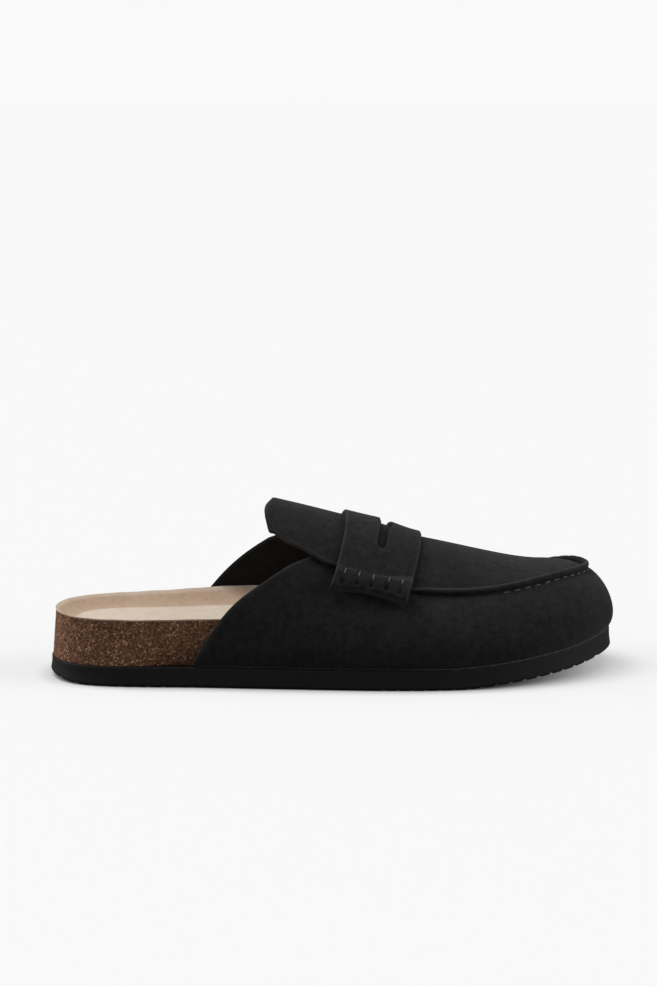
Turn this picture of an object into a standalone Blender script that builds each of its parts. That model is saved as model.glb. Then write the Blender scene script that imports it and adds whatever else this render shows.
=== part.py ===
"""Loafer mule for the right foot: a contoured cork footbed on a grooved rubber outsole, under a suede
upper with a raised moccasin seam, a free tongue and a slotted strap.

Metres. +X runs from the heel to the toe, +Y to the inner side of the foot and +Z up from the floor.
Lengths in the tables count from the back of the heel, and the finished shoe is then moved so that the
middle of its box stands over the origin.
"""

import math
from collections import namedtuple

import bmesh
import bpy
import numpy as np
from mathutils import Vector

# Overall sizes of the shoe
SHOE_LENGTH = 0.2862
BALL_WIDTH = 0.1050
HEEL_WIDTH = 0.0710
INSTEP_HEIGHT = 0.0765
TOE_HEIGHT = 0.0505

# Outsole
OUTSOLE_THICKNESS = 0.0102
TOE_SPRING = 0.0092
TOE_SPRING_START = 0.200
HEEL_SPRING = 0.0022
HEEL_SPRING_END = 0.018
OUTSOLE_FLARE = 0.0006
OUTSOLE_EDGE_BEVEL = 0.0010

# Tread: zigzag grooves that run out through both edges, on the heel and on the forefoot
GROOVE_WIDTH = 0.0018
GROOVE_DEPTH = 0.0012
GROOVE_PITCH = 0.0070
GROOVE_ZIGZAG = 0.0014
HEEL_TREAD_START = 0.0060
HEEL_TREAD_END = 0.0700
TOE_TREAD_START = 0.1640
TOE_TREAD_END = 0.2830

# Footbed and insole
FOOTBED_HEIGHT = 0.0235
CORK_SETBACK = 0.0006
CORK_TAPER = 0.0018
CORK_STEP_START = 0.034
CORK_STEP_END = 0.064
CORK_CLEARANCE = 0.0006
INSOLE_THICKNESS = 0.0014
CUP_WALL = 0.36
CUP_STEEPNESS = 1.7

# Upper
UPPER_WALL = 0.0020
UPPER_SETBACK = 0.0010
UPPER_BULGE = 0.0042
TOE_BULGE = 0.0030
RIDGE_HEIGHT = 0.0036
RIDGE_WIDTH = 0.0034
COLLAR_FOOT = 0.0710
THROAT = 0.1550

# Tongue and strap
TONGUE_THICKNESS = 0.0024
TONGUE_TIP = 0.1108
TONGUE_FRONT = 0.1750
TONGUE_THINNING = 0.1630
TONGUE_END_ROUND = 0.0027
TONGUE_END_CUT = 0.0009
TONGUE_END_TWIST = 0.0034
STRAP_THICKNESS = 0.0024
STRAP_BACK = 0.1490
STRAP_WIDTH = 0.0375
STRAP_DROP = 0.0070
STRAP_LEAN = 0.40
STRAP_FLARE = 0.0018
STRAP_ROLL = 0.0012
ROLL_SPAN = 0.0046
SLOT_LENGTH = 0.0412
SLOT_WIDTH = 0.0047
SLOT_MIDDLE = 0.0066
SLOT_SWEEP = 0.0019
SLOT_PLACE = 0.545

# Clearance kept between two pieces that touch on the real shoe
GAP = 0.0003

# How finely the pieces are drawn
UPPER_STATIONS = 30
SOLE_STATIONS = 34
TONGUE_STATIONS = 9
STRAP_STATIONS = 5

# The outline of the outsole from above, in pairs of points across the shoe, heel to toe
Outline = namedtuple("Outline", "name outer_along outer_across inner_along inner_across")
OUTLINE = (
    Outline("heel back", 0.0, 0.0, 0.0, 0.0),
    Outline("heel curve", 0.030 * SHOE_LENGTH, 0.315 * HEEL_WIDTH, 0.030 * SHOE_LENGTH, 0.315 * HEEL_WIDTH),
    Outline("heel side", 0.110 * SHOE_LENGTH, 0.458 * HEEL_WIDTH, 0.110 * SHOE_LENGTH, 0.475 * HEEL_WIDTH),
    Outline("seat", 0.225 * SHOE_LENGTH, 0.515 * HEEL_WIDTH, 0.225 * SHOE_LENGTH, 0.495 * HEEL_WIDTH),
    Outline("waist", 0.345 * SHOE_LENGTH, 0.395 * BALL_WIDTH, 0.345 * SHOE_LENGTH, 0.341 * BALL_WIDTH),
    Outline("instep", 0.455 * SHOE_LENGTH, 0.440 * BALL_WIDTH, 0.455 * SHOE_LENGTH, 0.365 * BALL_WIDTH),
    Outline("strap", 0.555 * SHOE_LENGTH, 0.478 * BALL_WIDTH, 0.555 * SHOE_LENGTH, 0.405 * BALL_WIDTH),
    Outline("ball", 0.655 * SHOE_LENGTH, 0.497 * BALL_WIDTH, 0.655 * SHOE_LENGTH, 0.460 * BALL_WIDTH),
    Outline("toes", 0.755 * SHOE_LENGTH, 0.480 * BALL_WIDTH, 0.755 * SHOE_LENGTH, 0.490 * BALL_WIDTH),
    Outline("toe base", 0.845 * SHOE_LENGTH, 0.410 * BALL_WIDTH, 0.860 * SHOE_LENGTH, 0.465 * BALL_WIDTH),
    Outline("toe curve", 0.915 * SHOE_LENGTH, 0.300 * BALL_WIDTH, 0.937 * SHOE_LENGTH, 0.365 * BALL_WIDTH),
    Outline("toe corner", 0.967 * SHOE_LENGTH, 0.145 * BALL_WIDTH, 0.982 * SHOE_LENGTH, 0.215 * BALL_WIDTH),
    Outline("toe tip", 0.997 * SHOE_LENGTH, -0.040 * BALL_WIDTH, 0.997 * SHOE_LENGTH, 0.040 * BALL_WIDTH),
)

# The last above it, at the same stations: height of the seam, how far the seam stands in from the
# outline, the share of the wall's height where it turns in, the height of the crown line, and how
# much lower the inner side's seam lies
LastSection = namedtuple("LastSection", "name seam_height seam_inset shoulder crown_height inner_sink")
LAST = (
    LastSection("heel back", 1.25 * INSTEP_HEIGHT, 0.035 * BALL_WIDTH, 0.60, 1.50 * INSTEP_HEIGHT, 0.0),
    LastSection("heel curve", 1.20 * INSTEP_HEIGHT, 0.035 * BALL_WIDTH, 0.60, 1.46 * INSTEP_HEIGHT, 0.0),
    LastSection("heel side", 1.10 * INSTEP_HEIGHT, 0.040 * BALL_WIDTH, 0.60, 1.38 * INSTEP_HEIGHT, 0.0),
    LastSection("seat", 0.990 * INSTEP_HEIGHT, 0.055 * BALL_WIDTH, 0.60, 1.275 * INSTEP_HEIGHT, 0.0),
    LastSection("waist", 0.870 * INSTEP_HEIGHT, 0.085 * BALL_WIDTH, 0.60, 1.170 * INSTEP_HEIGHT, 0.0),
    LastSection("instep", 0.760 * INSTEP_HEIGHT, 0.112 * BALL_WIDTH, 0.61, 1.068 * INSTEP_HEIGHT, 0.0),
    LastSection("strap", 0.664 * INSTEP_HEIGHT, 0.138 * BALL_WIDTH, 0.63, 0.966 * INSTEP_HEIGHT, 0.0),
    LastSection("ball", 0.606 * INSTEP_HEIGHT, 0.158 * BALL_WIDTH, 0.67, 0.881 * INSTEP_HEIGHT, 0.012 * TOE_HEIGHT),
    LastSection("toes", 0.905 * TOE_HEIGHT, 0.162 * BALL_WIDTH, 0.71, 1.208 * TOE_HEIGHT, 0.042 * TOE_HEIGHT),
    LastSection("toe base", 0.945 * TOE_HEIGHT, 0.157 * BALL_WIDTH, 0.73, 1.102 * TOE_HEIGHT, 0.056 * TOE_HEIGHT),
    LastSection("toe curve", 0.985 * TOE_HEIGHT, 0.146 * BALL_WIDTH, 0.81, 1.070 * TOE_HEIGHT, 0.036 * TOE_HEIGHT),
    LastSection("toe corner", 0.995 * TOE_HEIGHT, 0.128 * BALL_WIDTH, 0.84, 1.055 * TOE_HEIGHT, 0.0),
    LastSection("toe tip", 0.990 * TOE_HEIGHT, 0.122 * BALL_WIDTH, 0.84, 1.050 * TOE_HEIGHT, 0.0),
)

# The footbed at the same stations: heights of its two rims and of its middle over the outsole
BedSection = namedtuple("BedSection", "name outer_rim inner_rim middle")
FOOTBED = (
    BedSection("heel back", 1.035 * FOOTBED_HEIGHT, 1.035 * FOOTBED_HEIGHT, 0.80 * FOOTBED_HEIGHT),
    BedSection("heel curve", 1.025 * FOOTBED_HEIGHT, 1.040 * FOOTBED_HEIGHT, 0.79 * FOOTBED_HEIGHT),
    BedSection("heel side", 1.010 * FOOTBED_HEIGHT, 1.030 * FOOTBED_HEIGHT, 0.77 * FOOTBED_HEIGHT),
    BedSection("seat", 1.030 * FOOTBED_HEIGHT, 1.080 * FOOTBED_HEIGHT, 0.78 * FOOTBED_HEIGHT),
    BedSection("waist", 1.040 * FOOTBED_HEIGHT, 1.150 * FOOTBED_HEIGHT, 0.81 * FOOTBED_HEIGHT),
    BedSection("instep", 0.930 * FOOTBED_HEIGHT, 1.080 * FOOTBED_HEIGHT, 0.76 * FOOTBED_HEIGHT),
    BedSection("strap", 0.760 * FOOTBED_HEIGHT, 0.920 * FOOTBED_HEIGHT, 0.64 * FOOTBED_HEIGHT),
    BedSection("ball", 0.650 * FOOTBED_HEIGHT, 0.710 * FOOTBED_HEIGHT, 0.56 * FOOTBED_HEIGHT),
    BedSection("toes", 0.620 * FOOTBED_HEIGHT, 0.640 * FOOTBED_HEIGHT, 0.53 * FOOTBED_HEIGHT),
    BedSection("toe base", 0.630 * FOOTBED_HEIGHT, 0.630 * FOOTBED_HEIGHT, 0.52 * FOOTBED_HEIGHT),
    BedSection("toe curve", 0.650 * FOOTBED_HEIGHT, 0.650 * FOOTBED_HEIGHT, 0.52 * FOOTBED_HEIGHT),
    BedSection("toe corner", 0.660 * FOOTBED_HEIGHT, 0.660 * FOOTBED_HEIGHT, 0.52 * FOOTBED_HEIGHT),
    BedSection("toe tip", 0.660 * FOOTBED_HEIGHT, 0.660 * FOOTBED_HEIGHT, 0.52 * FOOTBED_HEIGHT),
)

# The upper is measured across from the sole (0) up the wall to the seam (1) and on to the crown (2).
SOLE_EDGE, SEAM, CROWN = 0.0, 1.0, 2.0

# The free edge of the upper on its outer and its inner side: how far along each lies between the
# collar's outer foot and the throat
CollarPoint = namedtuple("CollarPoint", "across outer inner")
COLLAR = (
    CollarPoint(0.00, -0.020, -0.060),
    CollarPoint(0.22, 0.038, -0.005),
    CollarPoint(0.44, 0.130, 0.090),
    CollarPoint(0.64, 0.252, 0.205),
    CollarPoint(0.82, 0.412, 0.333),
    CollarPoint(1.00, 0.579, 0.478),
    CollarPoint(1.12, 0.690, 0.570),
    CollarPoint(1.27, 0.814, 0.696),
    CollarPoint(1.45, 0.924, 0.828),
    CollarPoint(1.70, 0.985, 0.955),
    CollarPoint(2.00, 1.000, 1.000),
)

# The tongue's side edge: where along it from its tip to its front, and how far up it from the seam
TonguePoint = namedtuple("TonguePoint", "share rise")
TONGUE_EDGE = (
    TonguePoint(0.000, 0.450),
    TonguePoint(0.013, 0.335),
    TonguePoint(0.049, 0.270),
    TonguePoint(0.130, 0.225),
    TonguePoint(0.244, 0.182),
    TonguePoint(0.374, 0.138),
    TonguePoint(0.504, 0.084),
    TonguePoint(0.602, 0.080),
    TonguePoint(1.000, 0.080),
)

TIP = len(OUTLINE) - 1

# Stations beyond which the rows across the foot fan out of one spot, round the heel and round the toe
HEEL_FAN = 2.0
TOE_FAN = 9.4

Finish = namedtuple("Finish", "name colour roughness")
CORK = Finish("cork", (0.125, 0.060, 0.031), 0.85)
RUBBER = Finish("outsole_rubber", (0.010, 0.010, 0.010), 0.70)
SUEDE = Finish("black_suede", (0.012, 0.012, 0.012), 0.92)
SOCK = Finish("sock_suede", (0.560, 0.430, 0.330), 0.90)


class Spline:
    """Smooth curve through rows of numbers, one row at each key, closed or with free ends."""

    def __init__(self, keys, rows, closed=False):
        self.keys = np.array(keys, float)
        self.rows = np.array(rows, float)
        if self.rows.ndim == 1:
            self.rows = self.rows[:, None]
        self.closed = closed
        count = len(self.rows)
        steps = np.diff(self.keys)
        matrix = np.zeros((count, count))
        right = np.zeros(self.rows.shape)
        for i in range(count):
            if not closed and i in (0, count - 1):
                near, step = (1, steps[0]) if i == 0 else (count - 2, steps[-1])
                matrix[i, i], matrix[i, near] = 2.0, 1.0
                right[i] = 3.0 * (self.rows[max(i, near)] - self.rows[min(i, near)]) / step
                continue
            before, after = steps[i - 1], steps[i]
            last, following = (i - 1) % count, (i + 1) % count
            matrix[i, last] += after
            matrix[i, i] += 2.0 * (before + after)
            matrix[i, following] += before
            rise_before = (self.rows[i] - self.rows[last]) / before
            rise_after = (self.rows[following] - self.rows[i]) / after
            right[i] = 3.0 * (after * rise_before + before * rise_after)
        self.slopes = np.linalg.solve(matrix, right)

    def at(self, key):
        """The row at this key."""
        first, last = self.keys[0], self.keys[-1]
        key = first + (key - first) % (last - first) if self.closed else min(max(key, first), last)
        i = min(int(np.searchsorted(self.keys, key, side="right")) - 1, len(self.keys) - 2)
        following = (i + 1) % len(self.rows)
        step = self.keys[i + 1] - self.keys[i]
        t = (key - self.keys[i]) / step
        return (
            (1 + 2 * t) * (1 - t) ** 2 * self.rows[i]
            + t * (1 - t) ** 2 * step * self.slopes[i]
            + t * t * (3 - 2 * t) * self.rows[following]
            + t * t * (t - 1) * step * self.slopes[following]
        )


def smooth_step(value, start, end):
    share = min(max((value - start) / (end - start), 0.0), 1.0)
    return share * share * (3.0 - 2.0 * share)


def make_loop():
    """The three tables as one closed curve: heel back, outer side, toe tip, inner side."""
    outer, inner = [], []
    for o, last, bed in zip(OUTLINE, LAST, FOOTBED):
        shared = (last.seam_inset, last.shoulder, last.crown_height)
        outer.append((o.outer_along, -o.outer_across, last.seam_height, *shared, bed.outer_rim, bed.middle))
        inner_seam = last.seam_height - last.inner_sink
        inner.append((o.inner_along, o.inner_across, inner_seam, *shared, bed.inner_rim, bed.middle))
    rows = np.array(outer + inner[-2:0:-1])
    ring = np.vstack([rows, rows[:1]])
    keys = np.concatenate([[0.0], np.cumsum(np.linalg.norm(np.diff(ring[:, :2], axis=0), axis=1))])
    return Spline(keys, rows, closed=True)


LOOP = make_loop()
COLLAR_EDGE = Spline([p.across for p in COLLAR], [(p.outer, p.inner) for p in COLLAR])
TONGUE_SIDE = Spline([p.share for p in TONGUE_EDGE], [p.rise for p in TONGUE_EDGE])
Place = namedtuple("Place", "x y seam_height seam_inset shoulder crown_height rim middle inward")


def place(station):
    """What the tables say at a station: 0 is the heel back, TIP the toe tip, and beyond it the inner side."""
    key = float(np.interp(station, range(2 * TIP + 1), LOOP.keys))
    nudge = 0.001 * LOOP.keys[-1]
    ahead = LOOP.at(key + nudge)[:2] - LOOP.at(key - nudge)[:2]
    forward = Vector((ahead[0], ahead[1])).normalized()
    return Place(*LOOP.at(key), inward=Vector((-forward.y, forward.x)))


def spring(along):
    """Height of the outsole's underside over the floor."""
    toe = max(along - TOE_SPRING_START, 0.0) / (SHOE_LENGTH - TOE_SPRING_START)
    heel = max(HEEL_SPRING_END - along, 0.0) / HEEL_SPRING_END
    return TOE_SPRING * toe**1.35 + HEEL_SPRING * heel**2


def sole_top(along):
    return OUTSOLE_THICKNESS + spring(min(max(along, HEEL_SPRING_END), SHOE_LENGTH))


def inset_point(p, inset):
    return Vector((p.x, p.y)) + p.inward * inset


def seam_point(p):
    flat = inset_point(p, p.seam_inset)
    return Vector((flat.x, flat.y, p.seam_height))


def row_station(station):
    """Station on the outer side whose middle this station's row runs up to."""
    return min(max(min(station, 2 * TIP - station), HEEL_FAN), TOE_FAN)


def crown_point(station):
    """The point of the crown line that a station's rows run up to."""
    station = row_station(station)
    outer, inner = seam_point(place(station)), seam_point(place(2 * TIP - station))
    return Vector(((outer.x + inner.x) / 2, (outer.y + inner.y) / 2, place(station).crown_height))


def wall_profile(p, share):
    """(inset, height) on the outside of the upper's wall, share of the way from the sole to the seam."""
    foot = sole_top(p.x) + GAP
    rise = p.seam_height - foot
    bulge = UPPER_BULGE + TOE_BULGE * smooth_step(p.x, 0.82 * SHOE_LENGTH, 0.96 * SHOE_LENGTH)
    insets = (UPPER_SETBACK, UPPER_SETBACK - bulge, 0.08 * p.seam_inset, p.seam_inset)
    heights = (foot, foot + 0.18 * rise, foot + p.shoulder * rise, p.seam_height)
    weights = ((1 - share) ** 3, 3 * share * (1 - share) ** 2, 3 * share**2 * (1 - share), share**3)
    return sum(w * i for w, i in zip(weights, insets)), sum(w * h for w, h in zip(weights, heights))


def last_point(station, across):
    """A point on the outside of the upper, without its seam ridge."""
    p = place(station)
    if across <= SEAM:
        inset, height = wall_profile(p, across)
        flat = inset_point(p, inset)
        return Vector((flat.x, flat.y, height))
    seam, crown = seam_point(p), crown_point(station)
    share = across - SEAM
    point = seam.lerp(crown, share)
    point.z = seam.z + (crown.z - seam.z) * (1 - (1 - share) ** 2)
    return point


def last_normal(station, across):
    small = 0.02
    across = min(max(across, SOLE_EDGE + small), CROWN - 2 * small)
    along = last_point(station + small, across) - last_point(station - small, across)
    up = last_point(station, across + small) - last_point(station, across - small)
    return along.cross(up).normalized()


def over_last(station, across, lift):
    if across == CROWN:
        station = row_station(station)
    return last_point(station, across) + last_normal(station, across) * lift


def beside_seam(station, distance):
    """Across value this far up from the seam, or down from it where distance is negative."""
    p = place(station)
    seam = seam_point(p)
    run = (crown_point(station) - seam).length if distance > 0 else seam.z - sole_top(p.x)
    return SEAM + distance / run


def station_at(along, across, inner, lean_from=None):
    """Station where the last is this far from the heel. With lean_from, a height, the line leans back below it."""
    station = float(np.interp(along, [o.outer_along for o in OUTLINE], range(TIP + 1)))
    per_station = SHOE_LENGTH / TIP
    for _ in range(8):
        point = last_point(2 * TIP - station if inner else station, across)
        wanted = along - (STRAP_LEAN * (lean_from - point.z) if lean_from is not None else 0.0)
        station += (wanted - point.x) / per_station
        station = min(max(station, 0.5), TIP)
    return 2 * TIP - station if inner else station


def ridge_share(station):
    """The seam ridge stands full in front of the strap, lower beneath it and not at all behind it."""
    along = place(station).x
    strap_front = STRAP_BACK + STRAP_WIDTH
    return 0.55 * smooth_step(along, STRAP_BACK, STRAP_BACK + 0.2 * STRAP_WIDTH) + 0.45 * smooth_step(
        along, strap_front - 0.2 * STRAP_WIDTH, strap_front
    )


def make_object(name, sheets, finish):
    """One closed solid from grids of points whose edges meet."""
    mesh = bmesh.new()
    for sheet in sheets:
        grid = [[mesh.verts.new(point) for point in row] for row in sheet]
        for row, following in zip(grid, grid[1:]):
            for k in range(len(row) - 1):
                corners = [row[k], row[k + 1], following[k + 1], following[k]]
                if 2 * k + 1 >= len(row):
                    corners = corners[1:] + corners[:1]
                mesh.faces.new(corners[:3])
                mesh.faces.new((corners[0], corners[2], corners[3]))
    bmesh.ops.remove_doubles(mesh, verts=mesh.verts, dist=1e-6)
    bmesh.ops.dissolve_degenerate(mesh, edges=mesh.edges, dist=1e-7)
    bmesh.ops.recalc_face_normals(mesh, faces=mesh.faces)
    data = bpy.data.meshes.new(name)
    mesh.to_mesh(data)
    mesh.free()
    data.shade_smooth()
    data.set_sharp_from_angle(angle=math.radians(50))
    shoe_part = bpy.data.objects.new(name, data)
    bpy.context.scene.collection.objects.link(shoe_part)
    data.materials.append(make_material(finish))
    return shoe_part


def make_material(finish):
    material = bpy.data.materials.get(finish.name)
    if material is None:
        material = bpy.data.materials.new(finish.name)
        material.use_nodes = True
        shader = material.node_tree.nodes["Principled BSDF"]
        shader.inputs["Base Color"].default_value = (*finish.colour, 1.0)
        shader.inputs["Roughness"].default_value = finish.roughness
        shader.inputs["Metallic"].default_value = 0.0
    return material


def shell_sheets(outer, inner):
    """The two faces of a sheet and the strips that join their free edges."""
    edges = [[outer[0], inner[0]], [outer[-1], inner[-1]]]
    for side in (0, -1):
        edges.append([[row[side] for row in outer], [row[side] for row in inner]])
    return [outer, inner, *edges]


def folded(sheets):
    """Sheets of a piece that closes on itself at the toe: the strip at its last station falls away."""
    return [sheet for i, sheet in enumerate(sheets) if i != 3]


def cut(part, cutter):
    """Cuts the wire-shown helper out of the part."""
    cutter.hide_render = True
    cutter.display_type = "WIRE"
    modifier = part.modifiers.new("cut", "BOOLEAN")
    modifier.operation = "DIFFERENCE"
    modifier.solver = "EXACT"
    modifier.object = cutter


def sole_stations():
    """Stations from the heel back to the toe tip, closer together on the tight curves."""
    return [TIP * i / SOLE_STATIONS for i in range(SOLE_STATIONS + 1)]


def middle_point(station):
    """The point of the sole's middle line that a station's rows run up to."""
    station = row_station(station)
    outer, inner = place(station), place(2 * TIP - station)
    return Vector(((outer.x + inner.x) / 2, (outer.y + inner.y) / 2))


def across_sole(station, insets, shares, height, fanned=True):
    """A row of points across the sole: in from each edge by its inset, then by shares of the way to the middle.
    height(place, flat point, share) gives each one's height."""
    places = [place(station), place(2 * TIP - station)]
    edges = [inset_point(p, insets(p)) for p in places]
    middle = middle_point(station) if fanned else (edges[0] + edges[1]) / 2
    halves = []
    for p, edge in zip(places, edges):
        half = []
        for share in shares:
            flat = edge.lerp(middle, share)
            half.append(Vector((flat.x, flat.y, height(p, flat, share))))
        halves.append(half)
    outer, inner = halves
    return outer + inner[-2::-1]


def make_outsole():
    stations = sole_stations()

    def sheet(inset, shares, height):
        def inset_of(p):
            return inset

        def height_of(p, flat, share):
            return height(flat.x)

        return [across_sole(s, inset_of, shares, height_of, fanned=False) for s in stations]

    def bevel_top(along):
        return spring(along) + OUTSOLE_EDGE_BEVEL

    top = sheet(0.0, (0.0, 0.5, 1.0), sole_top)
    under = sheet(OUTSOLE_EDGE_BEVEL, (0.0, 0.5, 1.0), spring)
    foot = sheet(-OUTSOLE_FLARE, (0.0, 1.0), bevel_top)
    sides = []
    for side in (0, -1):
        sides.append([[row[side] for row in top], [row[side] for row in foot]])
        sides.append([[row[side] for row in foot], [row[side] for row in under]])
    outsole = make_object("outsole", [top, under, *sides], RUBBER)
    cut(outsole, make_tread())
    return outsole


def tread_places():
    """Lengths from the heel at which a groove lies."""
    places = []
    for start, end in ((HEEL_TREAD_START, HEEL_TREAD_END), (TOE_TREAD_START, TOE_TREAD_END)):
        count = int((end - start) / GROOVE_PITCH) + 1
        places += [start + GROOVE_PITCH * i for i in range(count)]
    return places


def make_tread():
    """All grooves as one helper, each a zigzag bar from edge to edge that follows the sole's spring."""
    mesh = bmesh.new()
    reach = 0.6 * BALL_WIDTH
    bends = 6
    for centre in tread_places():
        sections = []
        for i in range(bends + 1):
            side = -reach + 2 * reach * i / bends
            middle = centre + (GROOVE_ZIGZAG if i % 2 else -GROOVE_ZIGZAG)
            corners = []
            for back, up in ((-1, False), (1, False), (1, True), (-1, True)):
                along = middle + back * GROOVE_WIDTH / 2
                height = spring(along) + (GROOVE_DEPTH if up else -GROOVE_DEPTH)
                corners.append(mesh.verts.new((along, side, height)))
            sections.append(corners)
        for first, second in zip(sections, sections[1:]):
            for k in range(4):
                mesh.faces.new((first[k], first[(k + 1) % 4], second[(k + 1) % 4], second[k]))
        mesh.faces.new(sections[0])
        mesh.faces.new(sections[-1])
    bmesh.ops.recalc_face_normals(mesh, faces=mesh.faces)
    data = bpy.data.meshes.new("tread_grooves")
    mesh.to_mesh(data)
    mesh.free()
    tread = bpy.data.objects.new("tread_grooves", data)
    bpy.context.scene.collection.objects.link(tread)
    return tread


def cork_inset(p, height):
    """How far the cork's side stands in from the outline: near the edge round the heel, inside the upper ahead."""
    bare = CORK_SETBACK + CORK_TAPER * (height - OUTSOLE_THICKNESS) / FOOTBED_HEIGHT
    foot = sole_top(p.x) + GAP
    share = min(max((height - foot) / (p.seam_height - foot), 0.0), 1.0)
    for _ in range(12):
        reached = wall_profile(p, share)[1]
        share = min(max(share + (height - reached) / (p.seam_height - foot), 0.0), 1.0)
    inside_upper = wall_profile(p, share)[0] + 1.2 * UPPER_WALL + CORK_CLEARANCE
    covered = smooth_step(p.x, CORK_STEP_START, CORK_STEP_END)
    return bare + (inside_upper - bare) * covered


def rim_height(p):
    return sole_top(p.x) + p.rim


def bed_middle_height(station):
    """Height over the floor of the insole's middle line."""
    middle = place(row_station(station)).middle
    return sole_top(middle_point(station).x) + middle


BED_SHARES = (0.0, 0.07, 0.16, 0.26, 0.36, 0.65, 1.0)


def bed_sheet(depth):
    """A sheet that follows the footbed, this far below the top of the insole."""

    def inset(p):
        return max(cork_inset(p, rim_height(p)), cork_inset(p, rim_height(p) - INSOLE_THICKNESS))

    sheet = []
    for station in sole_stations():
        middle = bed_middle_height(station)

        def height(p, flat, share, middle=middle):
            rise = (1.0 - min(share / CUP_WALL, 1.0)) ** CUP_STEEPNESS
            return middle + (rim_height(p) - middle) * rise - depth

        sheet.append(across_sole(station, inset, BED_SHARES, height))
    return sheet


def make_footbed():
    cork_top = bed_sheet(INSOLE_THICKNESS + GAP)

    def foot_inset(p):
        return cork_inset(p, sole_top(p.x) + GAP)

    def foot_height(p, flat, share):
        return sole_top(flat.x) + GAP

    cork_foot = [across_sole(s, foot_inset, (0.0, 0.5, 1.0), foot_height) for s in sole_stations()]

    def waist_inset(p):
        return cork_inset(p, sole_top(p.x) + 0.5 * p.rim)

    def waist_height(p, flat, share):
        return sole_top(p.x) + 0.5 * p.rim

    cork_waist = [across_sole(s, waist_inset, (0.0, 1.0), waist_height) for s in sole_stations()]
    sides = []
    for side in (0, -1):
        sides.append([[row[side] for row in cork_top], [row[side] for row in cork_waist]])
        sides.append([[row[side] for row in cork_waist], [row[side] for row in cork_foot]])
    return make_object("footbed", [cork_top, cork_foot, *sides], CORK)


def make_insole():
    top, under = bed_sheet(0.0), bed_sheet(INSOLE_THICKNESS)
    sides = [[[row[side] for row in top], [row[side] for row in under]] for side in (0, -1)]
    return make_object("insole", [top, under, *sides], SOCK)


def collar_station(across, inner):
    """Station of the upper's free edge at this height of its wall."""
    share = float(COLLAR_EDGE.at(across)[1 if inner else 0])
    return station_at(COLLAR_FOOT + share * (THROAT - COLLAR_FOOT), across, inner)


# Rows across half of the upper: where each lies and how much of the seam ridge it carries
WALL_ROWS = (0.0, 0.10, 0.24, 0.40, 0.56, 0.72, 0.87)
RIDGE_ROWS = ((-0.50, 0.0), (-0.38, 0.85), (0.0, 1.0), (0.38, 0.85), (0.50, 0.0))
APRON_ROWS = (1.16, 1.34, 1.54, 1.77, 2.0)


def upper_rows(station):
    """(across, ridge share) for each row of half of the upper at a station."""
    ridge = [(beside_seam(station, side * RIDGE_WIDTH), share) for side, share in RIDGE_ROWS]
    return [(a, 0.0) for a in WALL_ROWS] + ridge + [(a, 0.0) for a in APRON_ROWS]


def upper_half(inner_side):
    """Outer and inner faces of half of the upper, each a list of stations from the free edge to the toe tip."""
    outside, inside = [], []
    starts = []
    for across, _ in upper_rows(place_of_throat()):
        station = collar_station(across, inner_side)
        starts.append(2 * TIP - station if inner_side else station)
    for i in range(UPPER_STATIONS + 1):
        share = i / UPPER_STATIONS
        outer_row, inner_row = [], []
        for row, start in enumerate(starts):
            along = start + (TIP - start) * share
            across, ridge = upper_rows(along)[row]
            station = 2 * TIP - along if inner_side else along
            outer_row.append(over_last(station, across, ridge * ridge_share(along) * RIDGE_HEIGHT))
            inner_row.append(over_last(station, across, -UPPER_WALL))
        outside.append(outer_row)
        inside.append(inner_row)
    return outside, inside


def place_of_throat():
    return station_at(THROAT, SEAM, False)


def make_upper():
    outer_side, inner_side = upper_half(False), upper_half(True)
    faces = []
    for one, other in zip(outer_side, inner_side):
        sheet = []
        for first, second in zip(one, other):
            middle = (first[-1] + second[-1]) / 2
            sheet.append(first[:-1] + [middle] + second[-2::-1])
        tip = sheet[-1]
        for k in range(len(tip) // 2):
            mean = (tip[k] + tip[-1 - k]) / 2
            tip[k], tip[-1 - k] = mean, mean.copy()
        faces.append(sheet)
    outside, inside = faces
    return make_object("upper", folded(shell_sheets(outside, inside)), SUEDE)


def leaning_point(along, across, inner, lift):
    """A point over the last on a line that crosses the crown at this length and leans back down the sides."""
    crown_station = station_at(along, CROWN, False)
    height = crown_point(crown_station).z
    station = station_at(along, across, inner, lean_from=height)
    return over_last(station, across, lift)


def mirrored_row(make_point, acrosses):
    """A row from the outer side over the crown to the inner side."""
    outer = [make_point(a, False) for a in acrosses]
    inner = [make_point(a, True) for a in acrosses[-2::-1]]
    return outer + inner


def tongue_thickness(along, room):
    """The tongue's thickness and this much room: it thins out towards the strap's front."""
    strap_front = STRAP_BACK + STRAP_WIDTH
    return (room + TONGUE_THICKNESS) * (1.0 - smooth_step(along, TONGUE_THINNING + room, strap_front))


def make_tongue():
    rows = (0.0, 0.12, 0.28, 0.46, 0.64, 0.82, 1.0)
    outside, inside = [], []
    for i in range(TONGUE_STATIONS + 1):
        share = (i / TONGUE_STATIONS) ** 1.5
        edge = SEAM + float(TONGUE_SIDE.at(share)[0])
        acrosses = [edge + (CROWN - edge) * row for row in rows]
        along = TONGUE_TIP + (TONGUE_FRONT - TONGUE_TIP) * share

        def face(lift, across, inner, along=along, edge=edge, share=share):
            below = (CROWN - across) / (CROWN - edge)
            shift = TONGUE_END_CUT * below**8 - TONGUE_END_ROUND * math.sin(math.pi * below**1.6)
            if inner:
                shift = TONGUE_END_TWIST * math.sin(math.pi / 2 * min(2 * below, 1.0))
            return leaning_point(along + shift * (1 - share) ** 4, across, inner, lift)

        def outer_face(across, inner, face=face, thickness=tongue_thickness(along, 0.0)):
            return face(GAP + thickness, across, inner)

        def inner_face(across, inner, face=face):
            return face(GAP, across, inner)

        outside.append(mirrored_row(outer_face, acrosses))
        inside.append(mirrored_row(inner_face, acrosses))
    return make_object("tongue", shell_sheets(outside, inside), SUEDE)


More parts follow.
